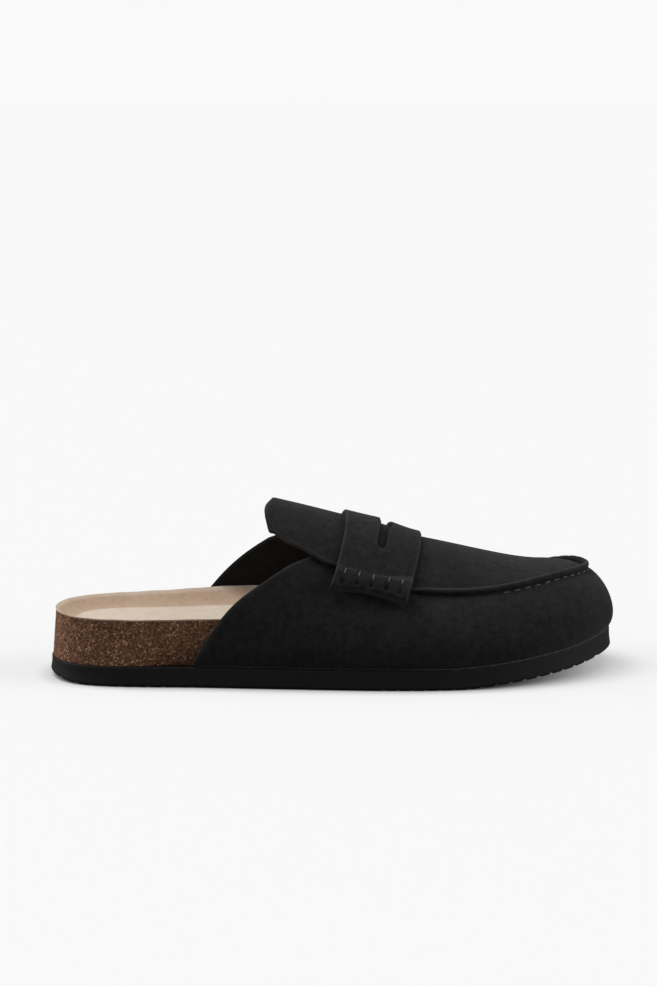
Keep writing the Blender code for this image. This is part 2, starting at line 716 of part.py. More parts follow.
# Rows over the strap's roll: (share of the drop below the seam or of the span above it, share of the roll's height)
ROLL_ROWS = ((-0.85, 0.55), (-0.55, 0.87), (-0.25, 0.98), (0.0, 1.0), (0.35, 0.73), (0.70, 0.21))
STRAP_APRON_ROWS = (1.16, 1.25, 1.36, 1.48, 1.61, 1.74, 1.87, 2.0)


def strap_under(along, across, bulge):
    """How far the strap's underside stands off the upper: over the tongue's front and over the seam ridge."""
    over_tongue = tongue_thickness(along, GAP)
    if across < SEAM:
        over_tongue *= bulge
    return GAP + max(over_tongue, bulge * (0.55 * RIDGE_HEIGHT + STRAP_ROLL))


def make_strap():
    outside, inside = [], []
    for i in range(STRAP_STATIONS):
        along = STRAP_BACK + STRAP_WIDTH * i / (STRAP_STATIONS - 1)
        middle = station_at(along, SEAM, False)
        roll = {beside_seam(middle, d * (STRAP_DROP if d < 0 else ROLL_SPAN)): rise for d, rise in ROLL_ROWS}
        acrosses = [beside_seam(middle, -STRAP_DROP), *roll, *STRAP_APRON_ROWS]
        flare = STRAP_FLARE * (1 - i / (STRAP_STATIONS - 1))

        def under(across, inner, along=along, roll=roll, flare=flare):
            back = along - flare * max(across - SEAM, 0.0)
            return leaning_point(back, across, inner, strap_under(along, across, roll.get(across, 0.0)))

        def over(across, inner, along=along, roll=roll, flare=flare):
            back = along - flare * max(across - SEAM, 0.0)
            lift = strap_under(along, across, roll.get(across, 0.0)) + STRAP_THICKNESS
            return leaning_point(back, across, inner, lift)

        inside.append(mirrored_row(under, acrosses))
        outside.append(mirrored_row(over, acrosses))
    strap = make_object("strap", shell_sheets(outside, inside), SUEDE)
    cut(strap, make_slot())
    return strap


def make_slot():
    """The slot through the strap: a long narrow opening across the foot, widest at the crown."""
    along = STRAP_BACK + STRAP_WIDTH * SLOT_PLACE
    station = station_at(along, CROWN, False)
    crown, seam = crown_point(station), seam_point(place(station))
    half_apron = abs(crown.y - seam.y)
    front, back = [], []
    for share in (-1.0, -0.97, -0.93, -0.88, -0.6, -0.35, -0.12, 0.12, 0.35, 0.6, 0.88, 0.93, 0.97, 1.0):
        side = share * SLOT_LENGTH / 2
        drop = (crown.z - seam.z) * (side / half_apron) ** 2
        middle = along - STRAP_LEAN * drop - SLOT_SWEEP * smooth_step(-share, 0.0, 0.6)
        into_end = max((abs(side) - SLOT_LENGTH / 2) / (SLOT_WIDTH / 2) + 1.0, 0.0)
        width = SLOT_WIDTH + (SLOT_MIDDLE - SLOT_WIDTH) * math.exp(-((share / 0.22) ** 2))
        reach = max(0.5 * width * math.sqrt(max(1 - into_end**2, 0.0)), 0.1 * SLOT_WIDTH)
        front.append((middle + reach, crown.y + side))
        back.append((middle - reach, crown.y + side))
    mesh = bmesh.new()
    low, high = seam.z, crown.z + STRAP_DROP
    outline = front + back[::-1]
    bottom = [mesh.verts.new((x, y, low)) for x, y in outline]
    top = [mesh.verts.new((x, y, high)) for x, y in outline]
    mesh.faces.new(bottom)
    mesh.faces.new(top)
    for k in range(len(outline)):
        nearest = (k + 1) % len(outline)
        mesh.faces.new((bottom[k], bottom[nearest], top[nearest], top[k]))
    bmesh.ops.recalc_face_normals(mesh, faces=mesh.faces)
    data = bpy.data.meshes.new("strap_slot")
    mesh.to_mesh(data)
    mesh.free()
    slot = bpy.data.objects.new("strap_slot", data)
    bpy.context.scene.collection.objects.link(slot)
    return slot


def centre_over_origin(parts):
    """Hangs every piece on one empty that carries the middle of the shoe's box over the origin."""
    corners = np.array([v.co for part in parts for v in part.data.vertices])
    middle = (corners.min(axis=0) + corners.max(axis=0)) / 2
    holder = bpy.data.objects.new("shoe", None)
    bpy.context.scene.collection.objects.link(holder)
    holder.location = (-middle[0], -middle[1], -corners[:, 2].min())
    for thing in bpy.data.objects:
        if thing is not holder:
            thing.parent = holder


def clear_scene():
    for thing in list(bpy.data.objects):
        bpy.data.objects.remove(thing, do_unlink=True)


def main():
    clear_scene()
    parts = [make_outsole(), make_footbed(), make_insole(), make_upper(), make_tongue(), make_strap()]
    centre_over_origin(parts)


main()
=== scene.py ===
"""Looks of a right-foot loafer mule: suede upper with a raised moccasin seam, tongue and slotted strap, on a
cork footbed with a beige suede sock and a grooved rubber outsole.

Metres. +X runs from the heel to the toe, +Y to the inner side of the foot and +Z up from the floor.
Lengths in the tables count from the back of the heel, and every finished point is then moved by SHIFT.
"""

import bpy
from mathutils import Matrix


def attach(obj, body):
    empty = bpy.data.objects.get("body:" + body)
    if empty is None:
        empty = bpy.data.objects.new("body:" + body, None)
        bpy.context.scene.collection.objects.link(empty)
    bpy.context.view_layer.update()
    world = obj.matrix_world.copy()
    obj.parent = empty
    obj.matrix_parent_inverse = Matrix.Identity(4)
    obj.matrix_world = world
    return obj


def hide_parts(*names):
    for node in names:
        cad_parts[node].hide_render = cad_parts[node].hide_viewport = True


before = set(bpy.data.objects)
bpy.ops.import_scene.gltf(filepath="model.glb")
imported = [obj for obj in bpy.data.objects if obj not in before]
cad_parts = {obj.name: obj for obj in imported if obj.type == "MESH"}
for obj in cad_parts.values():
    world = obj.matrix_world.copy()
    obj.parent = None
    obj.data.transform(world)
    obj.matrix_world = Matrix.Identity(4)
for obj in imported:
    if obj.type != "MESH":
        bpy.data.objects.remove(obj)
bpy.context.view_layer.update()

import math
from collections import namedtuple

import bmesh
import bpy
import numpy as np
from mathutils import Vector, noise

# Overall sizes of the shoe, and where the back of its heel stands in the shared frame
SHOE_LENGTH = 0.2862
BALL_WIDTH = 0.1050
HEEL_WIDTH = 0.0710
INSTEP_HEIGHT = 0.0765
TOE_HEIGHT = 0.0505
SHIFT = np.array((-0.143281, 0.000332, 0.0))

# Outsole
OUTSOLE_THICKNESS = 0.0102
TOE_SPRING = 0.0092
TOE_SPRING_START = 0.200
HEEL_SPRING = 0.0022
HEEL_SPRING_END = 0.018
OUTSOLE_FLARE = 0.0006
SOLE_LOW_ROUND = 0.0017
SOLE_TOP_ROUND = 0.0007
SOLE_HOLLOW = 0.00018
GROOVE_WIDTH = 0.0018
GROOVE_DEPTH = 0.0012
GROOVE_PITCH = 0.0070
GROOVE_ZIGZAG = 0.0014
GROOVE_SLOPE = 0.0006
GROOVE_BENDS = 6
HEEL_TREAD = (0.0060, 0.0700)
TOE_TREAD = (0.1640, 0.2830)

# Footbed and sock
FOOTBED_HEIGHT = 0.0235
CORK_SETBACK = 0.0006
CORK_TAPER = 0.0018
CORK_STEP_START = 0.034
CORK_STEP_END = 0.064
CORK_CLEARANCE = 0.0006
CORK_ROUND = 0.0007
CORK_PIT = 0.00012
CORK_SINK = 0.0004
BED_SPAN = 0.036
SOCK_THICKNESS = 0.0008
SOCK_OVERHANG = 0.0004
SOCK_WAVE = 0.00010
CUP_WALL = 0.36
CUP_STEEPNESS = 1.7

# Upper
UPPER_WALL = 0.0020
SUEDE_LAYER = 0.0012
LINING_SETBACK = 0.0005
UPPER_SETBACK = 0.0010
UPPER_BULGE = 0.0042
TOE_BULGE = 0.0030
TOE_BULGE_START = 0.82 * SHOE_LENGTH
TOE_BULGE_END = 0.96 * SHOE_LENGTH
LINING_GAP = 0.00003
RIDGE_HEIGHT = 0.0036
RIDGE_WIDTH = 0.0034
COLLAR_SPAN = 0.150
COLLAR_FOOT = 0.0710
COLLAR_ROUND = 0.0005
LINING_ROUND = 0.0003
THROAT = 0.1550

# Tongue and strap
TONGUE_THICKNESS = 0.0024
TONGUE_TIP = 0.1108
TONGUE_FRONT = 0.1750
TONGUE_THINNING = 0.1630
TONGUE_END_ROUND = 0.0027
TONGUE_END_CUT = 0.0009
TONGUE_END_TWIST = 0.0034
TONGUE_SPAN = 0.036
STRAP_THICKNESS = 0.0024
STRAP_BACK = 0.1490
STRAP_WIDTH = 0.0375
STRAP_FRONT = STRAP_BACK + STRAP_WIDTH
STRAP_DROP = 0.0070
STRAP_LEAN = 0.40
STRAP_FLARE = 0.0018
STRAP_ROLL = 0.0012
ROLL_SPAN = 0.0046
ROLL_REACH = 0.0062
ROLL_ARCH = 0.0024
ROLL_PUFF = 0.00045
STITCH_SINK = 0.00065
DIMPLE_DEPTH = 0.0011
SLOT_LENGTH = 0.0412
SLOT_WIDTH = 0.0047
SLOT_MIDDLE = 0.0066
SLOT_SWEEP = 0.0019
SLOT_PLACE = 0.545
SLOT_WEAR = 0.45
SLOT_WEAR_WIDTH = 0.0010
CUT_EDGE_ROUND = 0.0006

# How wide the rubbed edges are
COLLAR_WEAR = 0.0016
TONGUE_WEAR = 0.0015
STRAP_WEAR = 0.0014

# Stitching
SEAM_PITCH = 0.0058
VAMP_STITCH_LENGTH = 0.0036
VAMP_STITCH_DROP = 0.0016
VAMP_STITCH_START = 0.2235
THREAD_RADIUS = 0.00038
LIP_RADIUS = 0.00050
LIP_PLACE = 0.012
STRAP_STITCHES = (0.118, 0.302, 0.488, 0.694, 0.871)

GAP = 0.0003

# Spacing of the points along cut sheets, and the number of stations round other pieces
SHEET_STEP = 0.0011
SOLE_STATIONS = 420
CORK_STATIONS = 560
BED_STATIONS = 300

# How bright the background is, how much light falls on the open floor, the share of the floor's brightness
# that shadows take away (the rest is a painted glow, darkened into a painted shadow close to the shoe), how
# dark a gap under the shoe gets it from how near, and what floor and sky give back to the shoe
BACKGROUND = 0.947
FLOOR_LIGHT = 1.13
FLOOR_SHADE = 0.50
FLOOR_NEAR = 0.010
FLOOR_BOUNCE = 0.22
FLOOR_HALF = 8.0
SKY_LIGHT = 0.18

Light = namedtuple("Light", "name azimuth elevation strength softness")
LIGHTS = (
    Light("overhead", -115.0, 68.0, 1.95, 30.0),
    Light("heel_side", -97.0, 20.0, 1.40, 60.0),
    Light("toe_side", 80.0, 24.0, 1.65, 45.0),
)

CAMERA_AIM = (-0.0030, 0.0, 0.0908)
CAMERA_AZIMUTH = -4.0
CAMERA_ELEVATION = 10.0
CAMERA_DISTANCE = 1.4
CAMERA_LENS = 101.2

# The outline of the outsole from above, in pairs of points across the shoe, heel to toe: along in shares
# of SHOE_LENGTH and across in shares of the width named first
Outline = namedtuple("Outline", "name width outer_along outer_across inner_along inner_across")
OUTLINE = (
    Outline("heel back", HEEL_WIDTH, 0.0, 0.0, 0.0, 0.0),
    Outline("heel curve", HEEL_WIDTH, 0.030, 0.315, 0.030, 0.315),
    Outline("heel side", HEEL_WIDTH, 0.110, 0.458, 0.110, 0.475),
    Outline("seat", HEEL_WIDTH, 0.225, 0.515, 0.225, 0.495),
    Outline("waist", BALL_WIDTH, 0.345, 0.395, 0.345, 0.341),
    Outline("instep", BALL_WIDTH, 0.455, 0.440, 0.455, 0.365),
    Outline("strap", BALL_WIDTH, 0.555, 0.478, 0.555, 0.405),
    Outline("ball", BALL_WIDTH, 0.655, 0.497, 0.655, 0.460),
    Outline("toes", BALL_WIDTH, 0.755, 0.480, 0.755, 0.490),
    Outline("toe base", BALL_WIDTH, 0.845, 0.410, 0.860, 0.465),
    Outline("toe curve", BALL_WIDTH, 0.915, 0.300, 0.937, 0.365),
    Outline("toe corner", BALL_WIDTH, 0.967, 0.145, 0.982, 0.215),
    Outline("toe tip", BALL_WIDTH, 0.997, -0.040, 0.997, 0.040),
)

# The last above it, at the same stations: height of the seam, how far the seam stands in from the
# outline, the share of the wall's height where it turns in, the height of the crown line, and how
# much lower the inner side's seam lies. Heights are shares of the size named first, the inset is a
# share of BALL_WIDTH and the sink a share of TOE_HEIGHT.
LastSection = namedtuple("LastSection", "name size seam_height seam_inset shoulder crown_height inner_sink")
LAST = (
    LastSection("heel back", INSTEP_HEIGHT, 1.25, 0.035, 0.60, 1.50, 0.0),
    LastSection("heel curve", INSTEP_HEIGHT, 1.20, 0.035, 0.60, 1.46, 0.0),
    LastSection("heel side", INSTEP_HEIGHT, 1.10, 0.040, 0.60, 1.38, 0.0),
    LastSection("seat", INSTEP_HEIGHT, 0.990, 0.055, 0.60, 1.275, 0.0),
    LastSection("waist", INSTEP_HEIGHT, 0.870, 0.085, 0.60, 1.170, 0.0),
    LastSection("instep", INSTEP_HEIGHT, 0.760, 0.112, 0.61, 1.068, 0.0),
    LastSection("strap", INSTEP_HEIGHT, 0.664, 0.138, 0.63, 0.966, 0.0),
    LastSection("ball", INSTEP_HEIGHT, 0.606, 0.158, 0.67, 0.881, 0.012),
    LastSection("toes", TOE_HEIGHT, 0.905, 0.162, 0.71, 1.208, 0.042),
    LastSection("toe base", TOE_HEIGHT, 0.945, 0.157, 0.73, 1.102, 0.056),
    LastSection("toe curve", TOE_HEIGHT, 0.985, 0.146, 0.81, 1.070, 0.036),
    LastSection("toe corner", TOE_HEIGHT, 0.995, 0.128, 0.84, 1.055, 0.0),
    LastSection("toe tip", TOE_HEIGHT, 0.990, 0.122, 0.84, 1.050, 0.0),
)

# The footbed at the same stations, in shares of its height: its two rims and its middle
BedSection = namedtuple("BedSection", "name outer_rim inner_rim middle")
FOOTBED = (
    BedSection("heel back", 1.035, 1.035, 0.80),
    BedSection("heel curve", 1.025, 1.040, 0.79),
    BedSection("heel side", 1.010, 1.030, 0.77),
    BedSection("seat", 1.030, 1.080, 0.78),
    BedSection("waist", 1.040, 1.150, 0.81),
    BedSection("instep", 0.930, 1.080, 0.76),
    BedSection("strap", 0.760, 0.920, 0.64),
    BedSection("ball", 0.650, 0.710, 0.56),
    BedSection("toes", 0.620, 0.640, 0.53),
    BedSection("toe base", 0.630, 0.630, 0.52),
    BedSection("toe curve", 0.650, 0.650, 0.52),
    BedSection("toe corner", 0.660, 0.660, 0.52),
    BedSection("toe tip", 0.660, 0.660, 0.52),
)

# The upper is measured across from the sole (0) up the wall to the seam (1) and on to the crown (2).
SOLE_EDGE, SEAM, CROWN = 0.0, 1.0, 2.0

# The free edge of the upper on its outer and its inner side: how far along each lies between the
# collar's outer foot and the throat
CollarPoint = namedtuple("CollarPoint", "across outer inner")
COLLAR = (
    CollarPoint(0.00, -0.020, -0.060),
    CollarPoint(0.22, 0.038, -0.005),
    CollarPoint(0.44, 0.130, 0.090),
    CollarPoint(0.64, 0.252, 0.205),
    CollarPoint(0.82, 0.412, 0.333),
    CollarPoint(1.00, 0.579, 0.478),
    CollarPoint(1.12, 0.690, 0.570),
    CollarPoint(1.27, 0.814, 0.696),
    CollarPoint(1.45, 0.924, 0.828),
    CollarPoint(1.70, 0.985, 0.955),
    CollarPoint(2.00, 1.000, 1.000),
)

# Where the leather is drawn in beside the seam ridge: how far across, how wide and how deep
Crease = namedtuple("Crease", "across width depth")
CREASES = (
    Crease(0.960, 0.022, 0.0004),
    Crease(1.075, 0.035, 0.0003),
)

# The tongue's side edge: where along it from its tip to its front, and how far up it from the seam
TonguePoint = namedtuple("TonguePoint", "share rise")
TONGUE_EDGE = (
    TonguePoint(0.000, 0.450),
    TonguePoint(0.013, 0.335),
    TonguePoint(0.049, 0.270),
    TonguePoint(0.130, 0.225),
    TonguePoint(0.244, 0.182),
    TonguePoint(0.374, 0.138),
    TonguePoint(0.504, 0.084),
    TonguePoint(0.602, 0.080),
    TonguePoint(1.000, 0.080),
)

TIP = len(OUTLINE) - 1
PER_STATION = SHOE_LENGTH / TIP

# Rows across the upper, close together at the seam
UPPER_ROWS = np.concatenate(
    [np.linspace(0.0, 0.84, 22), np.linspace(0.86, 1.14, 29), np.linspace(1.17, 2.0, 22)]
)

# Stations beyond which the rows across the foot fan out of one spot, round the heel and round the toe
HEEL_FAN = 2.0
TOE_FAN = 9.4


class Spline:
    """Smooth curve through rows of numbers, one row at each key, closed or with free ends."""

    def __init__(self, keys, rows, closed=False):
        self.keys = np.array(keys, float)
        self.rows = np.array(rows, float)
        if self.rows.ndim == 1:
            self.rows = self.rows[:, None]
        self.closed = closed
        count = len(self.rows)
        steps = np.diff(self.keys)
        matrix = np.zeros((count, count))
        right = np.zeros(self.rows.shape)
        for i in range(count):
            if not closed and i in (0, count - 1):
                near, step = (1, steps[0]) if i == 0 else (count - 2, steps[-1])
                matrix[i, i], matrix[i, near] = 2.0, 1.0
                right[i] = 3.0 * (self.rows[max(i, near)] - self.rows[min(i, near)]) / step
                continue
            before, after = steps[i - 1], steps[i]
            last, following = (i - 1) % count, (i + 1) % count
            matrix[i, last] += after
            matrix[i, i] += 2.0 * (before + after)
            matrix[i, following] += before
            rise_before = (self.rows[i] - self.rows[last]) / before
            rise_after = (self.rows[following] - self.rows[i]) / after
            right[i] = 3.0 * (after * rise_before + before * rise_after)
        self.slopes = np.linalg.solve(matrix, right)

    def at(self, key):
        """The rows at these keys."""
        first, last = self.keys[0], self.keys[-1]
        key = np.asarray(key, float)
        key = first + (key - first) % (last - first) if self.closed else np.clip(key, first, last)
        i = np.clip(np.searchsorted(self.keys, key, side="right") - 1, 0, len(self.keys) - 2)
        following = (i + 1) % len(self.rows)
        step = (self.keys[i + 1] - self.keys[i])[..., None]
        t = (key - self.keys[i])[..., None] / step
        return (
            (1 + 2 * t) * (1 - t) ** 2 * self.rows[i]
            + t * (1 - t) ** 2 * step * self.slopes[i]
            + t * t * (3 - 2 * t) * self.rows[following]
            + t * t * (t - 1) * step * self.slopes[following]
        )


def smooth_step(value, start, end):
    share = np.clip((value - start) / (end - start), 0.0, 1.0)
    return share * share * (3.0 - 2.0 * share)


def make_loop():
    """The three tables as one closed curve: heel back, outer side, toe tip, inner side."""
    outer, inner = [], []
    for o, last, bed in zip(OUTLINE, LAST, FOOTBED):
        seam = last.seam_height * last.size
        shared = (last.seam_inset * BALL_WIDTH, last.shoulder, last.crown_height * last.size)
        middle = bed.middle * FOOTBED_HEIGHT
        rim = bed.outer_rim * FOOTBED_HEIGHT
        outer.append((o.outer_along * SHOE_LENGTH, -o.outer_across * o.width, seam, *shared, rim, middle))
        seam = seam - last.inner_sink * TOE_HEIGHT
        rim = bed.inner_rim * FOOTBED_HEIGHT
        inner.append((o.inner_along * SHOE_LENGTH, o.inner_across * o.width, seam, *shared, rim, middle))
    rows = np.array(outer + inner[-2:0:-1])
    ring = np.vstack([rows, rows[:1]])
    keys = np.concatenate([[0.0], np.cumsum(np.linalg.norm(np.diff(ring[:, :2], axis=0), axis=1))])
    return Spline(keys, rows, closed=True)


LOOP = make_loop()
COLLAR_EDGE = Spline([p.across for p in COLLAR], [(p.outer, p.inner) for p in COLLAR])
TONGUE_SIDE = Spline([p.share for p in TONGUE_EDGE], [p.rise for p in TONGUE_EDGE])
Place = namedtuple("Place", "x y seam_height seam_inset shoulder crown_height rim middle inward")


def quarter_turn(count):
    return np.linspace(0, math.pi / 2, count)


def unit(vectors):
    return vectors / np.maximum(np.linalg.norm(vectors, axis=-1, keepdims=True), 1e-12)


def joined(flat, height):
    """Points from their places on the ground and their heights."""
    flat, height = np.asarray(flat), np.asarray(height)
    return np.concatenate([flat, np.broadcast_to(height, flat.shape[:-1])[..., None]], axis=-1)


def place(station):
    """What the tables say at a station: 0 is the heel back, TIP the toe tip, and beyond it the inner side."""
    key = np.interp(station, range(2 * TIP + 1), LOOP.keys)
    nudge = 0.001 * LOOP.keys[-1]
    forward = unit(LOOP.at(key + nudge)[..., :2] - LOOP.at(key - nudge)[..., :2])
    inward = np.stack([-forward[..., 1], forward[..., 0]], axis=-1)
    return Place(*np.moveaxis(LOOP.at(key), -1, 0), inward=inward)


def both_sides(station):
    """The places on the outer and on the inner side at the same distance from the heel's back."""
    return place(station), place(2 * TIP - station)


def spring(along):
    """Height of the outsole's underside over the floor."""
    toe = np.maximum(along - TOE_SPRING_START, 0.0) / (SHOE_LENGTH - TOE_SPRING_START)
    heel = np.maximum(HEEL_SPRING_END - along, 0.0) / HEEL_SPRING_END
    return TOE_SPRING * toe**1.35 + HEEL_SPRING * heel**2


def sole_top(along):
    return OUTSOLE_THICKNESS + spring(np.clip(along, HEEL_SPRING_END, SHOE_LENGTH))


def inset_point(p, inset):
    return np.stack([p.x, p.y], axis=-1) + p.inward * np.asarray(inset)[..., None]


def seam_point(p):
    return joined(inset_point(p, p.seam_inset), p.seam_height)


def row_station(station):
    """Station on the outer side whose middle this station's row runs up to."""
    return np.clip(np.minimum(station, 2 * TIP - np.asarray(station, float)), HEEL_FAN, TOE_FAN)


def crown_point(station):
    """The point of the crown line that a station's rows run up to."""
    outer, inner = both_sides(row_station(station))
    point = (seam_point(outer) + seam_point(inner)) / 2
    point[..., 2] = outer.crown_height
    return point


def wall_profile(p, share):
    """(inset, height) on the outside of the upper's wall, share of the way from the sole to the seam."""
    foot = sole_top(p.x) + GAP
    rise = p.seam_height - foot
    bulge = UPPER_BULGE + TOE_BULGE * smooth_step(p.x, TOE_BULGE_START, TOE_BULGE_END)
    insets = (UPPER_SETBACK, UPPER_SETBACK - bulge, 0.08 * p.seam_inset, p.seam_inset)
    heights = (foot, foot + 0.18 * rise, foot + p.shoulder * rise, p.seam_height)
    weights = ((1 - share) ** 3, 3 * share * (1 - share) ** 2, 3 * share**2 * (1 - share), share**3)
    return sum(w * i for w, i in zip(weights, insets)), sum(w * h for w, h in zip(weights, heights))


def last_point(station, across):
    """Points on the outside of the upper, without its seam ridge."""
    station, across = np.broadcast_arrays(np.asarray(station, float), np.asarray(across, float))
    p = place(station)
    inset, height = wall_profile(p, np.minimum(across, SEAM))
    wall = joined(inset_point(p, inset), height)
    seam, crown = seam_point(p), crown_point(station)
    share = np.clip(across - SEAM, 0.0, 1.0)
    apron = seam + (crown - seam) * share[..., None]
    apron[..., 2] = seam[..., 2] + (crown[..., 2] - seam[..., 2]) * (1 - (1 - share) ** 2)
    return np.where((across <= SEAM)[..., None], wall, apron)


def last_normal(station, across):
    small = 0.02
    across = np.clip(across, SOLE_EDGE + small, CROWN - 2 * small)
    along = last_point(station + small, across) - last_point(station - small, across)
    up = last_point(station, across + small) - last_point(station, across - small)
    return unit(np.cross(along, up))


def over_last(station, across, lift):
    """Points lifted off the last."""
    station, across, lift = np.broadcast_arrays(*(np.asarray(v, float) for v in (station, across, lift)))
    station = np.where(across >= CROWN, row_station(station), station)
    return last_point(station, across) + last_normal(station, across) * lift[..., None]


def beside_seam(station, distance):
    """Across value this far up from the seam, or down from it where distance is negative."""
    p = place(station)
    seam = seam_point(p)
    up = np.linalg.norm(crown_point(station) - seam, axis=-1)
    down = seam[..., 2] - sole_top(p.x)
    return SEAM + distance / np.where(np.asarray(distance) > 0, up, down)


def station_at(along, across, inner, lean_from=None):
    """Station where the last is this far from the heel, along a line that leans back below lean_from."""
    along, across = np.broadcast_arrays(np.asarray(along, float), np.asarray(across, float))
    station = np.interp(along, [o.outer_along * SHOE_LENGTH for o in OUTLINE], range(TIP + 1))
    for _ in range(8):
        point = last_point(2 * TIP - station if inner else station, across)
        wanted = along
        if lean_from is not None:
            wanted = along - STRAP_LEAN * (lean_from - point[..., 2])
        station = np.clip(station + (wanted - point[..., 0]) / PER_STATION, 0.5, TIP)
    return 2 * TIP - station if inner else station


def leaning_point(along, across, inner, lift):
    """Points over the last on lines that cross the crown at these lengths and lean back down the sides."""
    along, across, lift = np.broadcast_arrays(*(np.asarray(v, float) for v in (along, across, lift)))
    height = crown_point(station_at(along, CROWN, False))[..., 2]
    return over_last(station_at(along, across, inner, lean_from=height), across, lift)


def ridge_share(station):
    """The seam ridge stands full in front of the strap, lower beneath it and not at all behind it."""
    along = place(station).x
    back = smooth_step(along, STRAP_BACK, STRAP_BACK + 0.2 * STRAP_WIDTH)
    front = smooth_step(along, STRAP_FRONT - 0.2 * STRAP_WIDTH, STRAP_FRONT)
    return 0.55 * back + 0.45 * front


def thickness_at(distance, thickness, radius=CUT_EDGE_ROUND):
    """Half the thickness of a cut sheet at this distance from its edge, whose corners are rounded."""
    share = np.clip(distance / radius, 0.0, 1.0)
    return thickness / 2 - radius + radius * np.sqrt(share * (2.0 - share))


def edge_spaced(length, step, radius=CUT_EDGE_ROUND, both=True):
    """Distances along a sheet from edge to edge, close together where an edge is rounded."""
    start = radius * (1 - np.cos(quarter_turn(5)))
    if not both:
        count = max(int((length - radius) / step), 2)
        return np.concatenate([start, np.linspace(radius, length, count + 1)[1:]])
    count = max(int((length - 2 * radius) / step), 2)
    middle = np.linspace(radius, length - radius, count + 1)[1:-1]
    return np.concatenate([start, middle, length - start[::-1]])


def mirrored(outer, inner):
    """One grid from the two halves of a piece, whose last rows meet on the crown."""
    middle = (outer[-1:] + inner[-1:]) / 2
    return np.concatenate([outer[:-1], middle, inner[-2::-1]])


def bridge(sides, column, shares):
    """A sheet straight across from this column of the outer side to that of the inner side."""
    outer, inner = (side[:, None, column] for side in sides)
    return outer * (1 - shares[None, :, None]) + inner * shares[None, :, None]


def shell_sheets(outer, inner, ends=(True, True)):
    """The two faces of a sheet and the strips along its edges; ends says which end columns have one."""
    sheets = [outer, inner]
    for row in (0, -1):
        sheets.append(np.stack([outer[row], inner[row]]))
    for column, closed in zip((0, -1), ends):
        if closed:
            sheets.append(np.stack([outer[:, column], inner[:, column]]))
    return sheets


def mesh_of(name, sheets, wear_and_light):
    """A mesh from grids of points whose edges meet, with a point attribute of some grids' rubbed edges and
    painted light, 0 to 1.
    """
    points, faces, rubbed = [], [], []
    count = 0
    for i, sheet in enumerate(sheets):
        rows, columns = sheet.shape[:2]
        index = count + np.arange(rows * columns).reshape(rows, columns)
        quads = np.stack([index[:-1, :-1], index[:-1, 1:], index[1:, 1:], index[1:, :-1]], axis=-1)
        points.append(sheet.reshape(-1, 3) + SHIFT)
        faces.append(quads.reshape(-1, 4))
        edge = wear_and_light[i] if i < len(wear_and_light) and wear_and_light[i] is not None else 0.0
        rubbed.append(np.broadcast_to(edge, (rows, columns)).reshape(-1))
        count += rows * columns
    data = bpy.data.meshes.new(name)
    data.from_pydata(np.concatenate(points).tolist(), [], np.concatenate(faces).tolist())
    attribute = data.attributes.new("wear_and_light", "FLOAT", "POINT")
    attribute.data.foreach_set("value", np.concatenate(rubbed).astype(np.float32))
    mesh = bmesh.new()
    mesh.from_mesh(data)
    bmesh.ops.remove_doubles(mesh, verts=mesh.verts, dist=2e-6)
    bmesh.ops.dissolve_degenerate(mesh, edges=mesh.edges, dist=5e-7)
    bmesh.ops.recalc_face_normals(mesh, faces=mesh.faces)
    mesh.to_mesh(data)
    mesh.free()
    return data


def add_piece(name, sheets, material, slot, *nodes, wear_and_light=(), sharp=50):
    """Makes a piece of the shoe from grids of points. It replaces these solids."""
    data = mesh_of(name, sheets, wear_and_light)
    data.shade_smooth()
    data.set_sharp_from_angle(angle=math.radians(sharp))
    data.materials.append(material)
    piece = bpy.data.objects.new(name, data)
    bpy.context.scene.collection.objects.link(piece)
    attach(piece, "root")
    if nodes:
        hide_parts(*nodes)


def tube_sheet(points, normals, across, up, sides=12):
    """A round bar along points, with half sizes across beside the normals and up along them."""
    tangents = unit(np.gradient(points, axis=0))
    normals = unit(normals - (normals * tangents).sum(-1, keepdims=True) * tangents)
    beside = np.cross(tangents, normals)
    turn = np.linspace(0, 2 * math.pi, sides + 1)
    across, up = (np.broadcast_to(v, len(points))[:, None, None] for v in (across, up))
    ring = beside[:, None] * np.cos(turn)[None, :, None] * across
    ring = ring + normals[:, None] * np.sin(turn)[None, :, None] * up
    return points[:, None] + ring


def stitch_sheet(points, normals, radius, flat=0.75, sides=10):
    """A short thread whose ends taper off."""
    share = np.linspace(-1, 1, len(points))
    taper = np.sqrt(np.maximum(1 - share**8, 0.0))
    return tube_sheet(points, normals, radius * taper + 1e-7, flat * radius * taper + 1e-7, sides)


# Outsole


def groove_depth(along, side):
    """How deep the tread is cut at a place on the underside."""
    bend = (side / BALL_WIDTH / 1.2 + 0.5) * GROOVE_BENDS
    zigzag = GROOVE_ZIGZAG * (2 * np.abs((bend % 2) - 1) - 1)
    deepest = np.zeros(np.broadcast(along, side).shape)
    for start, end in (HEEL_TREAD, TOE_TREAD):
        for i in range(int((end - start) / GROOVE_PITCH) + 1):
            off = np.abs(along - start - GROOVE_PITCH * i + zigzag)
            share = smooth_step(GROOVE_WIDTH / 2 + GROOVE_SLOPE / 2 - off, 0.0, GROOVE_SLOPE)
            deepest = np.maximum(deepest, GROOVE_DEPTH * share)
    return deepest


